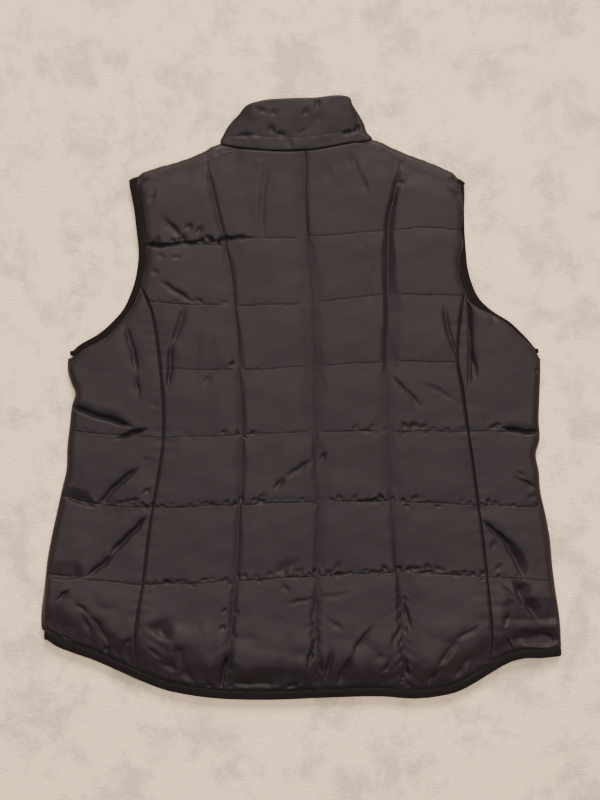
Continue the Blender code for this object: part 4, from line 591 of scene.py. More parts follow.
def back_top(p, side=None, tucked=False):
    """Inside and outside heights of the back's centre, or of one side of it, with every fold and pucker."""
    arms = (side,) if side else ("left", "right")
    x, y = p[..., 0], p[..., 1]
    drop, groove, extra = np.zeros((3, *x.shape))
    pillow = np.ones(x.shape)
    for n, r in enumerate("FED" if side else "FEDCBA"):
        s = y - rows[r](x) + 0.5 * np.sin(x / 11 + n * 2)
        g = np.maximum(gathers[r](x), 0)
        pull, above = np.minimum(g, 1.6), s > 0
        sides_of_row = np.where(above, crevice(s / (3.0 + 1.6 * pull)), 0.55 * tent(s / 20))
        drop = np.maximum(drop, (ROW_DEEP + 0.9 * pull) * sides_of_row)
        pillow *= np.where(above, loft(s, 26), 0.55 + 0.45 * loft(-s, 34))
        env = np.where(above, wrinkle(np.maximum(s, 0), 4.0), 0.25 * wrinkle(np.maximum(-s, 0), 3.0))
        extra += 0.30 * g * env * ripples(x + s * 0.7 * np.sin(x / 31 + 3 * n), 100 + n, 13.0)
    if not side:
        s = top_y(x) - y
        drop = np.maximum(drop, mix(2.6 * tent(s / 26), 2.0 * crevice(s / 3), on_neck(x)))
        for n, k in enumerate("123"):
            s = x - ups[k](y) + 0.5 * np.sin(y / 13 + n * 2)
            deep, left, right = beside(k, y)
            right = right * (1 + 0.12 * np.sin(y / 19 + n) + 0.06 * np.sin(y / 7.3 + 2 * n))
            left = left * (1 + 0.12 * np.sin(y / 17 + 2 * n) + 0.06 * np.sin(y / 8.1))
            drop = np.maximum(drop, deep * np.where(s > 0, tent(s / right), tent(s / left)))
            pillow *= np.where(s > 0, loft(s, 28), loft(-s, 28))
            groove += 0.6 * np.exp(-(s / 1.2) ** 2)
            low = ramp((-214 - y) / 50) * (0.8, 0.8, 1.3)[n] + 0.1
            extra += 0.35 * low * wrinkle(np.abs(s)) * ripples(y + 0.6 * np.abs(s), 200 + n * 2, 12.0)
    for name in arms:
        s = np.abs(x - seams[name](y))
        wide = 2.3 + 0.9 * ramp(1 - np.abs(y - 5) / 60) + 1.2 * ramp((-250 - y) / 40)
        drop = np.maximum(drop, SEAM_DEEP * crevice(s / wide))
        pillow *= loft(s, 24)
        extra += 0.3 * wrinkle(s, 4.0) * ripples(y, 300 + len(name), 14.0)
    arm = np.minimum.reduce([distance(p, LINES["armhole_" + name]) for name in arms])
    hem = distance(p, LINES["hem"])
    off_arm = ramp((arm - 30) / 30)
    room = np.maximum(np.minimum(arm, hem) - BINDING - 0.7, 0)
    by_hem = 0.16 * (1 - crevice(room / 4)) + 0.84 * (1 - tent(room / 36) * (room < 40))
    edge = np.where(arm < hem, 1 - crevice(room / 10), by_hem)
    soft = ease(ramp(room / 7))
    roll = np.exp(-((hem - ROLL_IN) / np.where(hem > ROLL_IN, *ROLL_REACH)) ** 2) * off_arm
    extra += 0.9 * wrinkle(room) * (hem < 60) * ripples(x + 0.3 * hem, 400, 15.0)
    extra += 1.2 * np.abs(waves(p * (1, 0.7), 46, 8)) * ramp((95 - hem) / 30) * ramp((hem - 14) / 16) * off_arm
    extra += 0.50 * waves(p, 85, 1) + 0.17 * waves(p, 34, 2) + 0.05 * waves(p, 13, 3)
    extra += creases(p, CREASES) + creases(p, PUCKERS) + 0.7 * pillow + ROLL_HIGH * roll
    high = (BACK_WALL_Z[1] + (PLATEAU - np.minimum(drop, MOST_DEEP)) * edge
            + soft * (extra - 0.8 * np.minimum(groove, 1.2)))
    high = np.where(room <= 0, BACK_WALL_Z[1], high)
    high = BACK_FLOOR + soft_ramp(high - BACK_FLOOR, 0.4)
    high = np.where(tucked, BACK_WALL_Z[1], TOP - soft_ramp(TOP - high, 0.9))
    if not side:
        return np.full(x.shape, BACK_LOW), high
    k = np.where(tucked, 1.0, ramp(distance(p, LINES["side_" + side]) / (BINDING + 0.9)))
    fold, middle = FOLD_Z + GAP / 2, FOLD_Z + GAP / 2 + WALL / 2
    return fold + (BACK_LOW - fold) * k, middle + (high - middle) * np.sqrt(1 - (1 - k) ** 2)


def hang_over(p, high, sides):
    """The padding's edge rolled out over the bindings."""
    out = p.copy()
    for name in [*("armhole_" + s for s in sides), "hem"]:
        d, way = distance(p, LINES[name], True)
        past = d - BINDING
        t = np.array(OVER[name], float)
        reach = np.interp(p[..., 0 if name == "hem" else 1], t[:, 0], t[:, 1])
        share = ramp(high - 12.8) * ramp((past - 0.8) / 1.6) * ramp(1 - (past - 2.4) / (2.2 * reach + 6))
        out += way * col(reach * share * (0.9 + 0.1 * np.sin(p[..., 1] / 6.7)))
    return out


def both(p, low, high):
    return lift(p, high), lift(p, low)


def between(lines, left, right, us, at, step, ends):
    """Points between lines, and for each row the number of the line below it."""
    grid, below = [], []
    for i, (a, b) in enumerate(zip(lines, lines[1:])):
        curved = 1 < i < 6   # from the hem's binding to the underarm
        borders = [up_col(c, a(k), b(k)) if c and curved else straight(a(k), b(k))
                   for c, k in ((left, 0.0), (right, 1.0))]
        n = max(int(np.linalg.norm(b(at) - a(at)) / step), 1)
        vs = close_in(n, ends if n > 6 else 0)[: None if i == len(lines) - 2 else -1]
        grid.append(coons(a, b, *borders)(*np.meshgrid(us, vs)))
        below += [i] * len(vs)
    return np.concatenate(grid), np.array(below)


def back_centre():
    cols = [lambda y: seams["left"](y) - 0.1, *ups.values(), lambda y: seams["right"](y) + 0.1]
    lines = [*HEM_LINES, *rows.values(), top_y]
    guess = [-330, -320, -318, -215, -125, -43, 37, 114, 187, 280]
    knots = [[crossing(c, line, y) for c in cols] for line, y in zip(lines, guess)]
    us = close_in(int(SQUARE / STEP))
    grid = []
    for i, (k, above) in enumerate(zip(knots, knots[1:])):
        n = max(int(abs(above[2][1] - k[2][1]) / STEP), 2)
        vs = close_in(n)[: None if i == len(lines) - 2 else -1]
        block = []
        for j in range(4):
            patch = coons(along_row(lines[i], k[j], k[j + 1]), along_row(lines[i + 1], above[j], above[j + 1]),
                          up_col(cols[j], k[j], above[j]), up_col(cols[j + 1], k[j + 1], above[j + 1]))
            block.append(patch(*np.meshgrid(us[: None if j == 3 else -1], vs)))
        grid.append(np.concatenate(block, 1))
    p = np.concatenate(grid)
    low, high = back_top(p)
    outer, inner = both(p, low, high)
    outer[..., :2] = hang_over(p, high, ("left", "right"))
    outer[..., 1] += (1 - on_neck(p[..., 0])) * ramp(1 - (top_y(p[..., 0]) - p[..., 1]) / 4)
    return slab("fine_back_centre", outer, inner, SHELL, 12, 12, replaces="back_centre")


def arm_in(side, t, d):
    return armholes[side](t) + inward(armholes[side], t, SIGN[side]) * col(d)


def armhole_ends(side):
    """Where along an armhole the underarm and shoulder folds start."""
    curve, x = armholes[side], SIDE[side][-1][0] - SIGN[side] * FOLD_Z
    return share_at(curve, 0, x, side == "right"), share_at(curve, 1, SHOULDER_Y[side])


def back_side(side):
    sgn, seam, edge_x = SIGN[side], seams[side], side_x[side]
    t0, _ = armhole_ends(side)
    inset = FOLD_Z + GAP
    x_fold = edge_x(Y_CORNER[side]) - sgn * inset

    def hem_row(k, start_x, down=0.0):
        return along_row(HEM_LINES[k], (start_x, HEM_LINES[k](start_x) - down), crossing(seam, HEM_LINES[k], -325))

    def top_row(d, first):
        """A line d in from the armhole, from the side edge to the seam."""
        y_end = 60.0
        while distance(np.array([seam(y_end), y_end]), LINES["armhole_" + side]) > d and y_end < 175:
            y_end += 0.25
        end = np.array([seam(y_end), y_end])
        t_end = nearest_share(end, LINES["armhole_" + side])
        mid = [arm_in(side, t0 + (t_end - t0) * k, d) for k in (0.10, 0.25, 0.42, 0.6, 0.8)]
        return path([first] + [m for m in mid if abs(m[0]) > abs(end[0]) + 4] + [end])
    lines = [hem_row(0, x_fold), hem_row(1, x_fold, 3.4), hem_row(2, edge_x(HEM_LINES[2](edge_x(Y_CORNER[side]))), 4.6)]
    for row in list(rows.values())[:3]:
        lines.append(along_row(row, *[crossing(c, row, row(c(0))) for c in (edge_x, seam)]))
    t_apex = share_at(armholes[side], 1, APEX_Y[side])
    lines.append(top_row(BINDING + 2.8, (edge_x(Y_FULL), Y_FULL)))
    lines.append(top_row(BINDING + 1.2, (edge_x(Y_FULL) - sgn * inset, Y_FULL + 0.6)))
    lines.append(lambda u: arm_in(side, t0 + (t_apex - t0) * np.asarray(u), TUCK))
    us = np.unique(np.concatenate([np.linspace(0, 0.11, 8), close_in(int(100 / SIDE_STEP))]))
    p, below = between(lines, edge_x, seam, us, 0.6, SIDE_STEP, 0.5)
    # under the bindings: up to the second line, and past the last but one
    tucked = (np.arange(len(p)) <= (below == 0).sum()) | (below == len(lines) - 2)
    tucked = np.broadcast_to(tucked[:, None], p.shape[:2])
    low, high = back_top(p, side, tucked)
    outer, inner = both(p, low, high)
    outer[..., :2] = hang_over(p, np.where(tucked, 0, high), (side,))
    return slab("fine_back_side_" + side, outer, inner, SHELL, 12, 12, replaces="back_side_" + side)


# ------------------------------------------------ fronts, lying on the floor
FRONT_KNOTS = (0, 0.032, 0.046, 0.95, 1)   # shares of a line across: edge, binding, padding, placket, zip
FRONT_UP = (0.36, 0.68)   # the upright rows
FRONT_CF = 9.0   # the flat strip beside the zip
FRONT_ROWS = ((-211, -214), (-118, -126), (-41, -43), (37, 40), (112, 114), (183, 186))   # y at the side and at the zip
NECK_KNOTS = (1, 0.85, 0.65, 0.43, 0.2)


def through(points):
    p = np.array(points, float)
    return lambda u: xy(np.interp(u, FRONT_KNOTS, p[:, 0]), np.interp(u, FRONT_KNOTS, p[:, 1]))


def arc(p, q, r, deg, reach=1.0):
    """Points round a fold at height FOLD_Z: r out from p, turned by deg from straight down toward q."""
    s, co = math.sin(math.radians(deg)), math.cos(math.radians(deg))
    return lift(p + q * col(r * s * reach), FOLD_Z - r * co)


def front_lines(side, hem, neck, shoulder):
    """Lines across a front from the hem to the shoulder, each from the side or armhole to the zip."""
    sgn, edge_x = SIGN[side], side_x[side]
    t0, t1 = armhole_ends(side)
    cf, inset = sgn * PANEL_OPEN, FOLD_Z + GAP
    x_fold = edge_x(Y_CORNER[side]) - sgn * inset
    neck_line = dense(neck)

    def hem_row(d, start):
        at = [start, start - sgn * 9, start - sgn * 14, cf + sgn * FRONT_CF, cf]
        return lambda u: xy(np.interp(u, FRONT_KNOTS, at), hem_in(np.interp(u, FRONT_KNOTS, at), d, hem))

    def cross_row(y_side, y_cf, x_side=None, down=0):
        x = edge_x(y_side) if x_side is None else x_side
        return through([(x, y_side), (x - sgn * 12, y_side - down), (x - sgn * 17, y_side - down),
                        (cf + sgn * FRONT_CF, y_cf), (cf, y_cf)])

    def arm_row(share, y_cf, at_neck=None):
        t = t0 + (t1 - t0) * share
        end = np.array([cf, y_cf]) if at_neck is None else neck(at_neck)
        near = end + (sgn * FRONT_CF, 0.0)
        if at_neck is not None:
            t_neck = nearest_share(end, neck_line)
            near = end + ((sgn * FRONT_CF, -5.0) if t_neck > 0.99 else inward(neck, t_neck, sgn) * FRONT_CF)
        return through([*(arm_in(side, t, d) for d in (TUCK, BINDING + 1.2, BINDING + 5.5)), near, end])
    x_hem = edge_x(hem_in(edge_x(Y_CORNER[side]), BINDING + 3.4, hem))
    corner = arm_in(side, t0, TUCK)
    lines = [hem_row(TUCK, x_fold), hem_row(BINDING + 1.8, x_fold), hem_row(BINDING + 3.4, x_hem)]
    lines += [cross_row(*ys) for ys in FRONT_ROWS[:3]]
    lines += [cross_row(Y_FULL, 38, None, 4), cross_row(Y_FULL + 0.6, 41, edge_x(Y_FULL) - sgn * inset, 4),
              through([corner, corner + (-sgn * 9.2, -9.0), corner + (-sgn * 13.5, -11.5),
                       (cf + sgn * FRONT_CF, 54), (cf, 54)])]
    lines += [arm_row(*at) for at in ((0.13, 74), (0.24, 96), (0.36, 117), (0.48, 142), (0.59, 168), (0.69, 198))]
    lines += [arm_row(share, 0, at) for share, at in zip((0.77, 0.83, 0.88, 0.93, 0.97), NECK_KNOTS)]
    length = run_of(dense(shoulder))[-1]
    shares = [0, (BINDING - 0.6) / length, (BINDING + 4) / length, 1 - FRONT_CF / length, 1]
    return lines + [lambda u: shoulder(np.interp(u, FRONT_KNOTS, shares))]


def front_walls(side, p, u, line_below, hem_line, neck_line, shoulder_line):
    """The heights of a front's lower and upper faces."""
    sgn, left = SIGN[side], side == "left"
    x, y = p[..., 0], p[..., 1]
    row_y = [smooth([(sgn * 310.0, a), (sgn * PANEL_OPEN, b)]) for a, b in FRONT_ROWS]
    bound = np.minimum(distance(p, LINES["armhole_" + side]), distance(p, hem_line)) - BINDING - 2.5
    walled = (bound <= -1) | (line_below < 2) | ((line_below > 6) & (u < FRONT_KNOTS[2]))
    bound = np.maximum(bound, 0)
    by_cf = np.abs(x) - PANEL_OPEN - FRONT_CF + 0.6
    by_neck, by_fold = distance(p, neck_line), distance(p, shoulder_line)
    rise = np.minimum.reduce([ramp(bound / 10), ramp(by_cf / 9), ramp((by_neck - 2) / 12), ramp(by_fold / 14)])
    drop = np.minimum.reduce([ramp(bound / 4), ramp(by_cf / 7), ramp((by_neck - 1) / 9)])
    high = FRONT_WALL_Z[1] + (FRONT_TOP - FRONT_WALL_Z[1]) * rise
    low = FRONT_WALL_Z[0] * (1 - drop)
    wide = np.linalg.norm(p[:, -1:] - p[:, :1], axis=-1)
    stitch = np.minimum.reduce([np.abs(u - k) * wide for k in FRONT_UP] + [np.abs(y - f(x)) for f in row_y])
    # every third fold of the back, mirrored, gives the hidden side folds of the same kind
    folds = [(-a, b, -c, d, 4 + left_reach, 4 + right_reach, -depth, 0)
             for a, b, c, d, left_reach, right_reach, depth, _ in CREASES[::3]]
    crumple = 0.5 * (np.maximum(waves(p, 42, 31 + left), 0) + np.maximum(creases(p, folds), 0)
                     + np.maximum(waves(p, 17, 41 + left), 0) * ramp(1 - stitch / 22))
    puffed = (high - WALL - low) * (1 - loft(stitch, 13)) + drop * np.minimum(crumple, 1.6)
    low = np.minimum(low + np.where(by_fold > 9, puffed, 0), high - 1.6)
    low, high = np.where(walled, FRONT_WALL_Z[0], low), np.where(walled, FRONT_WALL_Z[1], high)
    by_side = distance(p, LINES["side_" + side])
    k = ramp(by_side / (BINDING + 0.9))
    top, middle = FOLD_Z - GAP / 2, FOLD_Z - GAP / 2 - WALL / 2
    return middle - (middle - low) * np.sqrt(1 - (1 - k) ** 2), top + (high - top) * ramp(by_side / (2 * BINDING))


def front(side):
    sgn, left = SIGN[side], side == "left"
    hem = smooth(HEM_FRONT[side])
    neck, shoulder, yoke = path(NECK_FRONT[side]), path(SHOULDER[side]), path(YOKE[side])
    lines = front_lines(side, hem, neck, shoulder)
    fixed = [0, 0.0065, 0.018, *FRONT_KNOTS[1:3], *FRONT_UP, *FRONT_KNOTS[3:]]
    parts = [np.linspace(u, u2, max(int((u2 - u) * 82), 1) + 1) for u, u2 in zip(fixed, fixed[1:])]
    us = np.unique(np.concatenate(parts))
    p, below = between(lines, side_x[side], None, us, 0.5, FRONT_STEP, 0)
    below[-1] += 1
    xs = np.linspace(*sorted((sgn * 308.0, sgn * PANEL_OPEN)), 160)
    low, high = front_walls(side, p, np.broadcast_to(us, p.shape[:2]), below[:, None], xy(xs, hem(xs)),
                            dense(neck), dense(shoulder))
    outer, inner = [lift(p[:-1], low[:-1])], [lift(p[:-1], high[:-1])]
    # over the shoulder and on to the seam on the back
    ring = lines[-1](us).copy()
    along = unit(shoulder(0.12) - shoulder(0))
    held = us <= FRONT_KNOTS[1]
    ring[held] = ring[0] + along * col(np.linalg.norm(ring[held] - ring[0], axis=1))
    step = run_of(ring)
    d = unit(np.gradient(ring, axis=0))
    d[held] = along
    k = col(ramp(1 - (step[-1] - step) / 14))
    q = unit(mix(left_of(d) * -sgn, np.array(NECK_TURN[side]), k))
    big = np.minimum(ramp((step - BINDING) / 6), ramp((step[-1] - step - 2) / 9))
    r = WALL / 2 + FOLD_R - 0.15 + (FOLD_Z + 0.15 - WALL / 2 - FOLD_R) * big
    r_in = FOLD_R - WALL / 2 + 0.15
    for deg in HALF_TURN:
        pucker = 0.03 * np.sin(step / 2.6 + 1.4 * np.sin(step / 9)) * big * math.sin(math.radians(deg))
        outer.append(arc(ring, q, r * (1 + pucker), deg)[None])
        inner.append(arc(ring, q, r_in, deg)[None])
    z_fold = outer[-1][0, :, 2], inner[-1][0, :, 2]
    last = yoke(step / step[-1])
    z_seam = BACK_WALL_Z[1] + 4.4 * ramp((step - BINDING - 1) / 8) * ramp((step[-1] - step) / 9)
    gap = ramp(np.linalg.norm(last - ring, axis=1) / 10)
    for k in np.linspace(0, 1, 9)[1:]:
        at = mix(ring, last, k)
        uneven = 1 + 0.6 * waves(at, 12, 51 + left)
        swell = (0.5 * math.sin(math.pi * k) * gap * uneven - 0.15 * ramp(k * 6 - 5)) * big
        outer.append(lift(at, mix(z_fold[0], z_seam, ease(k)) + swell)[None])
        inner.append(lift(at, mix(z_fold[1], BACK_WALL_Z[0], k))[None])
    return slab("fine_front_" + side, np.concatenate(outer), np.concatenate(inner), SHELL, 6, 6,
                replaces="front_" + side)


# ------------------------------------------------ stand collar
def collar():
    above_row = COLLAR_ROW + close_in(24, 0.5) * (1 - COLLAR_ROW)
    fine = np.unique(np.concatenate([close_in(9, 0.4) * COLLAR_ROW, above_row]))
    low_part = 0.86 + 0.06 * np.sin(math.pi * ramp(fine / COLLAR_ROW))
    high_part = 0.86 + 0.14 * np.sin(math.pi * ramp((fine - COLLAR_ROW) / (1.04 - COLLAR_ROW)))
    wall = np.where(fine <= COLLAR_ROW, low_part, high_part)
    wall *= (0.75 + 0.25 * ramp(fine / 0.04)) * ramp((1 - fine) / 0.05 + 0.2)
    reach = 1 - 0.88 * ramp((fine - 0.45) / 0.55) ** 1.5
    r = FOLD_R + WALL / 2 + (FOLD_Z - WALL / 2 - FOLD_R) * (0.35 + 0.65 * wall) * ramp(fine / 0.06)
    outer, inner, folds, at_fold = [], [], {}, {}
    for side, sgn in SIGN.items():
        mid = path(COLLAR_FOLD[side])
        p, d = mid(fine), heading(mid, fine, 0.08)
        q = unit(mix(np.array(NECK_TURN[side]), left_of(d) * -sgn, col(ramp(fine / 0.2))))
        p[0] += d[0] * 2 * GAP
        folds[side] = p, q
        at_fold[side] = lambda v, p=p: xy(np.interp(v, fine, p[:, 0]), np.interp(v, fine, p[:, 1]))

    def fitted(curve, low_end, high_end):
        """A curve shifted so that it ends at the given points."""
        return lambda u: curve(u) + mix(low_end - curve(0), high_end - curve(1), col(u))

    def front_half(side, order):
        sgn = SIGN[side]
        neck = path(NECK_FRONT[side])
        end = straight((sgn * PANEL_OPEN, 229 + 2 * GAP), (sgn * PANEL_OPEN, 294))
        n0, n1 = at_fold[side](0), end(0)

        def low(u):
            free = neck(u) + inward(neck, u, -sgn) * 2 * GAP
            return np.where(col(u) <= 0, n0, np.where(col(u) >= 1, n1, free))
        patch = coons(low, fitted(path(COLLAR_FRONT_TOP[side]), at_fold[side](1), end(1)), at_fold[side], end)
        for u in order:
            p = patch(u, fine)
            by_cf = ramp((abs(p[0, 0]) - PANEL_OPEN - FRONT_CF - 3) / 14) if u < 1 else 0
            edge = FRONT_WALL_Z[0] * (1 - ramp(by_cf * 2) * (0.35 + 0.65 * wall))
            outer.append(lift(p, mix(FOLD_Z - r, edge, ramp(u / 0.25))))
            inner.append(lift(p, FRONT_WALL_Z[1] + 1.2 * wall * by_cf * ramp(u / 0.3)))

    def turn(side, degs):
        outer.extend(arc(*folds[side], r, deg, reach) for deg in degs)
        inner.extend(arc(*folds[side], FOLD_R - WALL / 2, deg, reach) for deg in degs)

    knots = NECK_KNOTS[::-1]
    steps = np.unique(np.concatenate([np.linspace(a, b, 9) for a, b in zip(knots, knots[1:])]))
    front_half("left", steps[::-1])
    turn("left", HALF_TURN)
    l_at, r_at = at_fold["left"], at_fold["right"]
    off_neck = np.array([0, 2 * GAP])
    at_neck = fitted(path(NECK_BACK), l_at(0), r_at(0))
    u, v = np.meshgrid(np.linspace(0, 1, 79)[1:-1], fine, indexing="ij")
    p = coons(lambda u: at_neck(u) + off_neck * col(np.sin(math.pi * np.asarray(u, float)) ** 0.3),
              fitted(path(COLLAR_TOP), l_at(1), r_at(1)), l_at, r_at)(u, v)
    by_fold = np.minimum(u, 1 - u)
    near = ramp(by_fold / 0.16)
    high = mix(FOLD_Z + r, BACK_WALL_Z[1] + (2.2 + 6.4 * v) * wall, near)
    ends = ramp(v / 0.1) * ramp((1 - v) / 0.08) * ramp(by_fold / 0.03)
    s = (v - COLLAR_ROW) * COLLAR_TALL
    folded = 0.5 * waves(p, 40, 61) + 0.12 * waves(p, 17, 62) + creases(p, COLLAR_CREASES)
    high += ends * (folded + 0.35 * wrinkle(np.abs(s), 4.0) * ripples(p[..., 0] + 0.4 * s, 63, 14.0))
    high -= 0.35 * np.exp(-(s / 1.3) ** 2) * ramp(by_fold / 0.02) + 0.5 * np.exp(-(v * COLLAR_TALL / 1.2) ** 2) * near
    high = np.clip(high, BACK_FLOOR, 19.0)
    outer += list(lift(p, high))
    inner += list(lift(p, BACK_LOW))
    turn("right", HALF_TURN[::-1])
    front_half("right", steps)
    return slab("fine_collar", np.array(outer), np.array(inner), SHELL, 4, 6, replaces="collar")


# ------------------------------------------------ bindings
OUT = WALL / 2 + GAP
LOWEST = 0.05   # just above the floor
UP_Z = np.array([0, 0, 1.0])
EDGES = {}   # the frames along the upper face of each bound edge


def u_section(wide):
    """Half round outside, open inside, its cut edges turned under."""
    turns = np.radians(np.linspace(90, -90, 9))
    back = [(-GAP - CLOTH * math.cos(a) * 0.98, (OUT + 0.1 + CLOTH * 0.9) * math.sin(a)) for a in turns]
    top = [(wide, OUT + 0.15), (wide - 0.1, OUT + 0.75), (wide - 0.7, OUT + 1.05), (wide - 1.7, OUT + 0.62),
           (wide - 2.6, OUT + 1.08), (wide * 0.55, OUT + CLOTH * 1.04), (wide * 0.3, OUT + CLOTH * 1.06),
           (0.6, OUT + CLOTH)]
    inside = [(wide, -OUT), (-GAP * 0.4, -OUT + 0.02), (-GAP * 0.4, OUT - 0.02)]
    return np.array(top + back + [(d, -h) for d, h in reversed(top)] + inside)


def v3(p, z=0.0):
    return np.array([p[0], p[1], z])


def fold_frames(centre, across, q, degs, reach=FOLD_R):
    out = []
    for deg in degs:
        s, co = math.sin(math.radians(deg)), math.cos(math.radians(deg))
        out.append((v3(centre, FOLD_Z) + v3(q * s * reach, co * FOLD_R), v3(across), v3(q * s, co)))
    return out


def sweep(name, frames, section, closed, seed, edge_of, **more):
    verts, run = [], 0.0
    ph = np.random.default_rng(seed).uniform(0, 6.28, 3)
    for i, (p, across, out) in enumerate(frames):
        run += np.linalg.norm(p - frames[i - 1][0]) if i else 0
        swell = 0.16 * math.sin(run / 2.4 + 1.5 * math.sin(run / 13 + ph[0])) + 0.22 * math.sin(run / 19 + ph[1])
        wide = 0.25 * math.sin(run / 16 + ph[2]) + 0.12 * math.sin(run / 3.1)
        for d, h in section:
            face = abs(h) > OUT + 0.3 and d > 0.5
            at = p + across * (d + (wide - 0.3 if d > 5 else 0)) + out * (h + math.copysign(swell, h) * face)
            verts.append((at[0], at[1], max(at[2], LOWEST)))
    ob = put(name, verts, tube(len(frames), len(section), closed=closed), BIND, slot="binding", **more)
    return ob


def armhole_binding(side):
    sgn, shoulder = SIGN[side], path(SHOULDER[side])
    t0, t1 = armhole_ends(side)
    along = unit(shoulder(0.12) - shoulder(0))
    down, q_low = np.array([0.0, -1.0]), np.array([float(sgn), 0.0])
    edge = []
    for k in np.linspace(0, 1, 110):
        t = t0 + (t1 - t0) * k
        n = inward(armholes[side], t, sgn)
        n = mix(down, n, k / 0.1) if k < 0.1 else mix(n, along, (k - 0.86) / 0.14) if k > 0.86 else n
        edge.append((arm_in(side, t, EDGE), unit(n)))
    frames = [(v3(p, BOUND_BACK), v3(n), UP_Z) for p, n in edge]
    EDGES["armhole_" + side] = list(frames)
    frames += fold_frames(shoulder(0) - along * 0.6, along, left_of(along) * -sgn, TURN, 2.2)
    frames += [(v3(p, BOUND_FRONT), v3(n), -UP_Z) for p, n in reversed(edge)]
    frames += fold_frames(edge[0][0], 0.55 * down, q_low, TURN[::-1], 2.3)
    sweep("fine_armhole_binding_" + side, frames, u_section(BINDING - EDGE), True, 71,
          [centre, sides[side], fronts[side]],
          replaces="armhole_binding_" + side)


def hem_binding():
    hem_l, hem_r = (smooth(HEM_FRONT[side]) for side in SIGN)
    x_l, x_r = (side_x[side](Y_CORNER[side]) - sgn * FOLD_Z for side, sgn in SIGN.items())
    up = np.array([0, 1.0])

    def run(a, b, count, table, z, out):
        frames = []
        for x in np.linspace(a, b, count):
            slope = (table(x + 2) - table(x - 2)) / 4
            n = mix(unit(np.array([-slope, 1.0])), up, float(ramp(1 - min(x - x_l, x_r - x) / 14)))
            frames.append((v3((x, hem_in(x, EDGE, table)), z), v3(unit(n)), out))
        return frames

    def corner(x, table, way, degs):
        return fold_frames(np.array([x, (frames[-1][0][1] + hem_in(x, EDGE, table)) / 2]), up, np.array([way, 0]), degs)
    frames = run(-PANEL_OPEN, x_l, 60, hem_l, BOUND_FRONT, -UP_Z)
    frames += corner(x_l, hem_y, -1.0, TURN[::-1])
    EDGES["hem"] = run(x_l, x_r, 260, hem_y, BOUND_BACK, UP_Z)
    frames += EDGES["hem"]
    frames += corner(x_r, hem_r, 1.0, TURN)
    frames += run(x_r, PANEL_OPEN, 60, hem_r, BOUND_FRONT, -UP_Z)
    sweep("fine_hem_binding", frames, u_section(BINDING - EDGE), False, 72, [centre, *sides.values(), *fronts.values()],
          replaces="hem_binding")


# ------------------------------------------------ thread
def stitches(name, runs, mat, length=2.5, gap=1.0, wide=0.42, high=0.26):
    """Short raised dashes along lines of points that lie on the cloth."""
    verts, faces = [], []
    section = [(-1, 0), (-0.55, 0.8), (0.55, 0.8), (1, 0), (0.5, -0.7), (-0.5, -0.7)]
    rings = [(0, 0.35, -0.22), (0.22, 0.85, 0.02), (0.5, 1.0, 0.1), (0.78, 0.85, 0.02), (1, 0.35, -0.22)]
    for line in runs:
        line = np.asarray(line, float)
        run = run_of(line)
        for a in np.arange(0.4, run[-1] - length, length + gap):
            p = np.stack([np.interp([a + k * length for k, _, _ in rings], run, line[:, i]) for i in range(3)], -1)
            d = unit(p[-1] - p[0])
            side = np.cross(UP_Z, d)
            side /= max(np.linalg.norm(side), 1e-6)
            up = np.cross(d, side)
            faces += tube(len(rings), len(section), len(verts))
            verts += [at + side * s * wide * size + up * (rise + h * high * size)
                      for at, (_, size, rise) in zip(p, rings) for s, h in section]
    return put(name, verts, faces, mat, slot="shell")


def thread_on_back():
    runs = []
    y = np.arange(-343, 282, 1.6)
    for n, k in enumerate("123"):
        x = ups[k](y) - 0.5 * np.sin(y / 13 + n * 2)
        p = xy(x, y)[(y > HEM_LINES[2](x)) & (y < top_y(x) - 1)]
        runs.append(lift(p, back_top(p)[1]))
    for n, (k, row) in enumerate(rows.items()):
        spans = [(seams["left"](row(-190)) + 2, seams["right"](row(190)) - 2, None)]
        for side in SIGN if k in "FED" else ():
            ends = side_x[side](row(-200)), seams[side](row(-190 if side == "left" else 200))
            spans.append((min(ends) + 4, max(ends) - 3, side))
        for a, b, side in spans:
            x = np.arange(a, b, 1.6)
            p = xy(x, row(x) - 0.5 * np.sin(x / 11 + n * 2))
            if side:
                p = p[distance(p, LINES["side_" + side]) > 4]
            runs.append(lift(p, back_top(p, side)[1]))
    stitches("quilting_thread", runs, THREAD)
    runs = [[p + a * (BINDING - EDGE - 2.0) + o * (OUT + 0.72) for p, a, o in frames] for frames in EDGES.values()]
    stitches("binding_thread", runs, THREAD, 2.3, 0.9)


# ------------------------------------------------ zip, under the folded front
TAPE_W, TAPE_T, TAPE_Z, CHAIN_W, TOOTH_PITCH = 9.2, 0.8, 5.15, 5.0, 1.5
ZIP_LOW, ZIP_TOP, CHAIN_END = -313.0, 291.0, 282.6   # the teeth end inside the slider


def cuboid(verts, faces, x, y, z, inset):
    """A block with its long edges cut back."""
    faces += tube(4, 4, len(verts))
    for at, cut in ((z[0], inset), (z[0] + inset, 0), (z[1] - inset, 0), (z[1], inset)):
        x0, x1, y0, y1 = x[0] + cut, x[1] - cut, y[0] + cut, y[1] - cut
        verts += [(x0, y0, at), (x1, y0, at), (x1, y1, at), (x0, y1, at)]


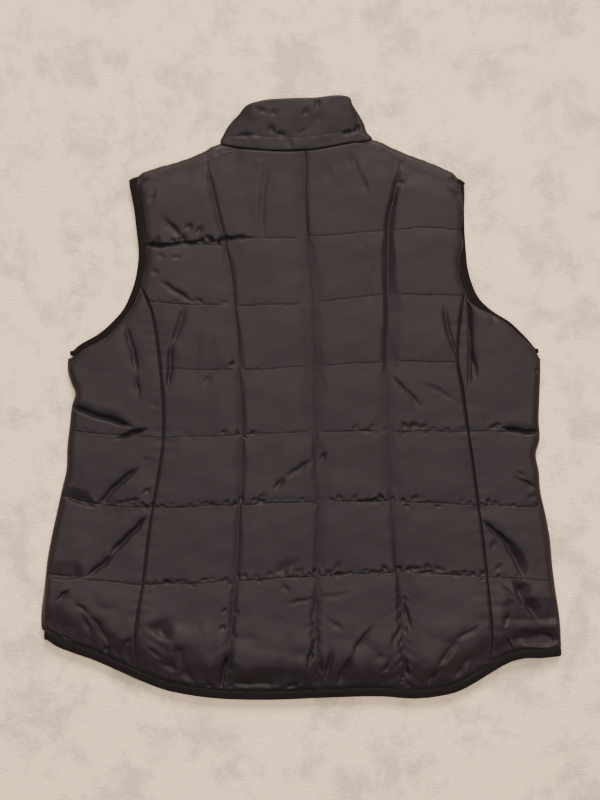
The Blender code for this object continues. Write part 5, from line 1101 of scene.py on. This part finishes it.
def zip_parts():
    for side, sgn in SIGN.items():
        xs = sgn * (CHAIN_W / 2 + GAP + np.linspace(0, TAPE_W, 12))
        p = xy(*np.meshgrid(xs, np.linspace(ZIP_LOW, ZIP_TOP, 200)))
        ribs = 0.06 * np.sin(p[..., 0] * 3.6)
        tape = slab("fine_zip_tape_" + side, lift(p, TAPE_Z + TAPE_T - 0.08 + ribs), lift(p, TAPE_Z + 0.06),
                    TAPE, 10, 3, slot="zip_tape", replaces="zip_tape_" + side)
    verts, faces = [], []
    half = CHAIN_W / 2
    for n, y in enumerate(np.arange(ZIP_LOW + 1, CHAIN_END - 1, TOOTH_PITCH)):
        s = -1 if n % 2 else 1
        x = sorted((s * half, -s * 0.75))
        cuboid(verts, faces, x, (y, y + 1.12), (3.45, 5.55), 0.28)
    for x in ((-half, -1.9), (1.9, half)):
        cuboid(verts, faces, x, (ZIP_LOW, CHAIN_END), (4.1, 4.9), 0.15)
    cuboid(verts, faces, (-1.9, 1.9), (ZIP_LOW, CHAIN_END), (4.25, 4.6), 0.1)
    cuboid(verts, faces, (-half, half), (ZIP_LOW, ZIP_LOW + 7), (3.4, 5.6), 0.4)
    put("fine_zip_chain", verts, faces, TEETH, 30, slot="zip_teeth", replaces="zip_chain")


def refined(node, body, width):
    """The solid itself with its edges rounded."""
    src = bpy.data.objects[node]
    ob = bpy.data.objects.new("fine_" + node, src.data.copy())
    ob.data.materials.clear()
    ob.data.materials.append(METAL)
    bpy.context.scene.collection.objects.link(ob)
    ob.matrix_world = src.matrix_world
    bm = bmesh.new()
    bm.from_mesh(ob.data)
    bmesh.ops.remove_doubles(bm, verts=bm.verts, dist=1e-6)
    bmesh.ops.dissolve_limit(bm, angle_limit=0.02, verts=bm.verts, edges=bm.edges)
    sharp = [e for e in bm.edges if e.is_manifold and e.calc_face_angle(0) > 0.6]
    bmesh.ops.bevel(bm, geom=sharp, offset=width * MM, segments=3, profile=0.5, affect="EDGES", clamp_overlap=True)
    bm.to_mesh(ob.data)
    bm.free()
    ob.data.shade_smooth()
    ob.data.set_sharp_from_angle(angle=math.radians(35))
    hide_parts(node)
    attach(ob, body)


# ------------------------------------------------ materials
def node_material(name, rough, sheen=0.0, metallic=0.0, specular=0.5):
    mat = bpy.data.materials.new(name)
    mat.use_nodes = True
    p = mat.node_tree.nodes["Principled BSDF"]
    for key, value in (("Roughness", rough), ("Metallic", metallic), ("Specular IOR Level", specular),
                       ("Sheen Weight", sheen), ("Sheen Roughness", 0.45), ("Sheen Tint", (0.9, 0.84, 0.84, 1))):
        p.inputs[key].default_value = value
    return mat, p


def add(mat, kind, *first, **values):
    """A node; its inputs by place or by name, as values or as sockets to link, and its settings by small names."""
    tree = mat.node_tree
    node = tree.nodes.new("ShaderNode" + kind)
    for k in [k for k in values if k.islower()]:
        setattr(node, k, values.pop(k))
    for k, v in [*enumerate(first), *values.items()]:
        socket = node.inputs[k if isinstance(k, int) else k.replace("_", " ")]
        if isinstance(v, bpy.types.NodeSocket):
            tree.links.new(v, socket)
        else:
            socket.default_value = v
    return node.outputs


def plus(mat, a, times, more):
    """a times a number, plus more."""
    return add(mat, "Math", a, times, more, operation="MULTIPLY_ADD")[0]


def finish_with(mat, p, **inputs):
    for k, socket in inputs.items():
        mat.node_tree.links.new(socket, p.inputs[k.replace("_", " ")])


def cloth(name, dark, light, rough, pitch, weave, crumple, sheen, specular):
    """A woven cloth: threads both ways, soft crumples, and slow changes of colour and gloss."""
    mat, p = node_material(name, rough, sheen, specular=specular)
    at = add(mat, "TexCoord")["Object"]

    def texture(kind, **values):
        return add(mat, kind, Vector=at, **values)["Fac"]
    bands = [texture("TexWave", wave_type="BANDS", bands_direction=way, Scale=1 / pitch / 3.1416 * 0.5, Distortion=0.6,
                     Detail=1.0, Detail_Scale=1.2) for way in "XY"]
    threads = add(mat, "Math", *bands, operation="MULTIPLY")[0]
    fine = texture("TexNoise", Scale=150.0, Detail=4.0, Roughness=0.55, Distortion=0.4)
    big = texture("TexNoise", Scale=18.0, Detail=3.0, Roughness=0.5, Distortion=0.2)
    ridge = texture("TexNoise", noise_type="RIDGED_MULTIFRACTAL", Scale=46.0, Detail=3.0, Roughness=0.55,
                    Distortion=0.3)
    share = plus(mat, big, 0.75, plus(mat, fine, 0.35, 0.0))
    shade = add(mat, "MixRGB", share, (*dark, 1), (*light, 1))["Color"]
    normal = None
    for height, deep in ((ridge, crumple), (fine, crumple * 0.5), (threads, weave)):
        below = {"Normal": normal} if normal else {}
        normal = add(mat, "Bump", Strength=1.0, Distance=deep * MM, Height=height, **below)["Normal"]
    finish_with(mat, p, Base_Color=add(mat, "MixRGB", 0.28, shade, threads, blend_type="MULTIPLY")["Color"],
                Roughness=plus(mat, big, 0.14, rough - 0.07), Normal=normal)
    return mat


def hard(name, colour, rough, metallic, grain):
    mat, p = node_material(name, rough, metallic=metallic)
    n = add(mat, "TexNoise", Vector=add(mat, "TexCoord")["Object"], Scale=grain, Detail=4.0, Roughness=0.6)["Fac"]
    shade = add(mat, "MixRGB", n, (*[c * 0.8 for c in colour], 1), (*[c * 1.35 for c in colour], 1))["Color"]
    finish_with(mat, p, Base_Color=shade, Roughness=plus(mat, n, 0.2, rough - 0.1),
                Normal=add(mat, "Bump", Strength=0.5, Distance=0.02 * MM, Height=n)["Normal"])
    return mat


SHELL = cloth("shell_polyester", (0.0122, 0.0071, 0.0097), (0.0178, 0.0106, 0.0144), 0.60, 0.42, 0.03, 0.12, 0.04, 0.24)
BIND = cloth("bias_binding", (0.0060, 0.0043, 0.0046), (0.0105, 0.0077, 0.0082), 0.80, 0.6, 0.06, 0.08, 0.04, 0.10)
TAPE = cloth("zip_tape_weave", (0.012, 0.011, 0.011), (0.020, 0.018, 0.018), 0.8, 0.8, 0.08, 0.05, 0.05, 0.3)
THREAD = cloth("sewing_thread", (0.012, 0.0095, 0.0100), (0.020, 0.016, 0.0168), 0.6, 0.3, 0.03, 0.02, 0.1, 0.4)
TEETH = hard("moulded_teeth", (0.018, 0.017, 0.017), 0.38, 0.0, 900.0)
METAL = hard("black_enamel", (0.035, 0.033, 0.033), 0.32, 0.85, 1400.0)

# ------------------------------------------------ the vest
centre = back_centre()
sides = {s: back_side(s) for s in SIGN}
fronts = {s: front(s) for s in SIGN}
stand = collar()
for s in SIGN:
    armhole_binding(s)
hem_binding()
zip_parts()
refined("zip_slider", BODY, 0.28)
refined("zip_pull", "pull_tab", 0.3)
thread_on_back()

# ------------------------------------------------ floor, light and camera
bpy.ops.mesh.primitive_plane_add(size=8, location=(0, 0, -0.0005))
floor = bpy.context.object
floor.name = "floor"
rug, p = node_material("pale_floor", 0.95)
at = add(rug, "TexCoord")["Object"]
wool = add(rug, "TexNoise", Vector=at, Scale=420.0, Detail=3.0, Roughness=0.7)["Fac"]
blot = add(rug, "TexNoise", Vector=at, Scale=14.0, Detail=8.0, Roughness=0.72, Distortion=0.2)["Fac"]
tint = add(rug, "ValToRGB", blot)["Color"]
FLOOR_TINTS = (0.40, (0.68, 0.54, 0.41, 1)), (0.52, (1.0, 0.78, 0.54, 1))
for stop, (share, colour) in zip(tint.node.color_ramp.elements, FLOOR_TINTS):
    stop.position, stop.color = share, colour
finish_with(rug, p, Base_Color=tint, Normal=add(rug, "Bump", Strength=0.7, Distance=0.004, Height=wool)["Normal"])
floor.data.materials.append(rug)

world = bpy.data.worlds.new("room")
bpy.context.scene.world = world
world.use_nodes = True
world.node_tree.nodes["Background"].inputs["Color"].default_value = (1.0, 0.95, 0.90, 1)
world.node_tree.nodes["Background"].inputs["Strength"].default_value = 0.14


def area_light(name, at, size, watts, colour):
    """A square lamp that points at the vest's middle."""
    data = bpy.data.lights.new(name, "AREA")
    data.shape, data.size, data.energy, data.color = "SQUARE", size, watts, colour
    ob = bpy.data.objects.new(name, data)
    bpy.context.scene.collection.objects.link(ob)
    ob.location = at
    ob.rotation_euler = (math.atan2(math.hypot(at[0], at[1]), at[2]), 0, math.atan2(-at[1], -at[0]) - math.pi / 2)


area_light("window", (0.7, 7.0, 5.4), 3.2, 1340, (1.0, 0.92, 0.82))
area_light("ceiling", (0.05, -0.05, 2.7), 2.4, 84, (1.0, 0.93, 0.86))

camera = bpy.data.cameras.new("camera")
camera.sensor_fit, camera.sensor_width, camera.lens = "AUTO", 36, 49.16
eye = bpy.data.objects.new("camera", camera)
bpy.context.scene.collection.objects.link(eye)
eye.location = (-0.0026, -0.0031, 1.31)
bpy.context.scene.camera = eye
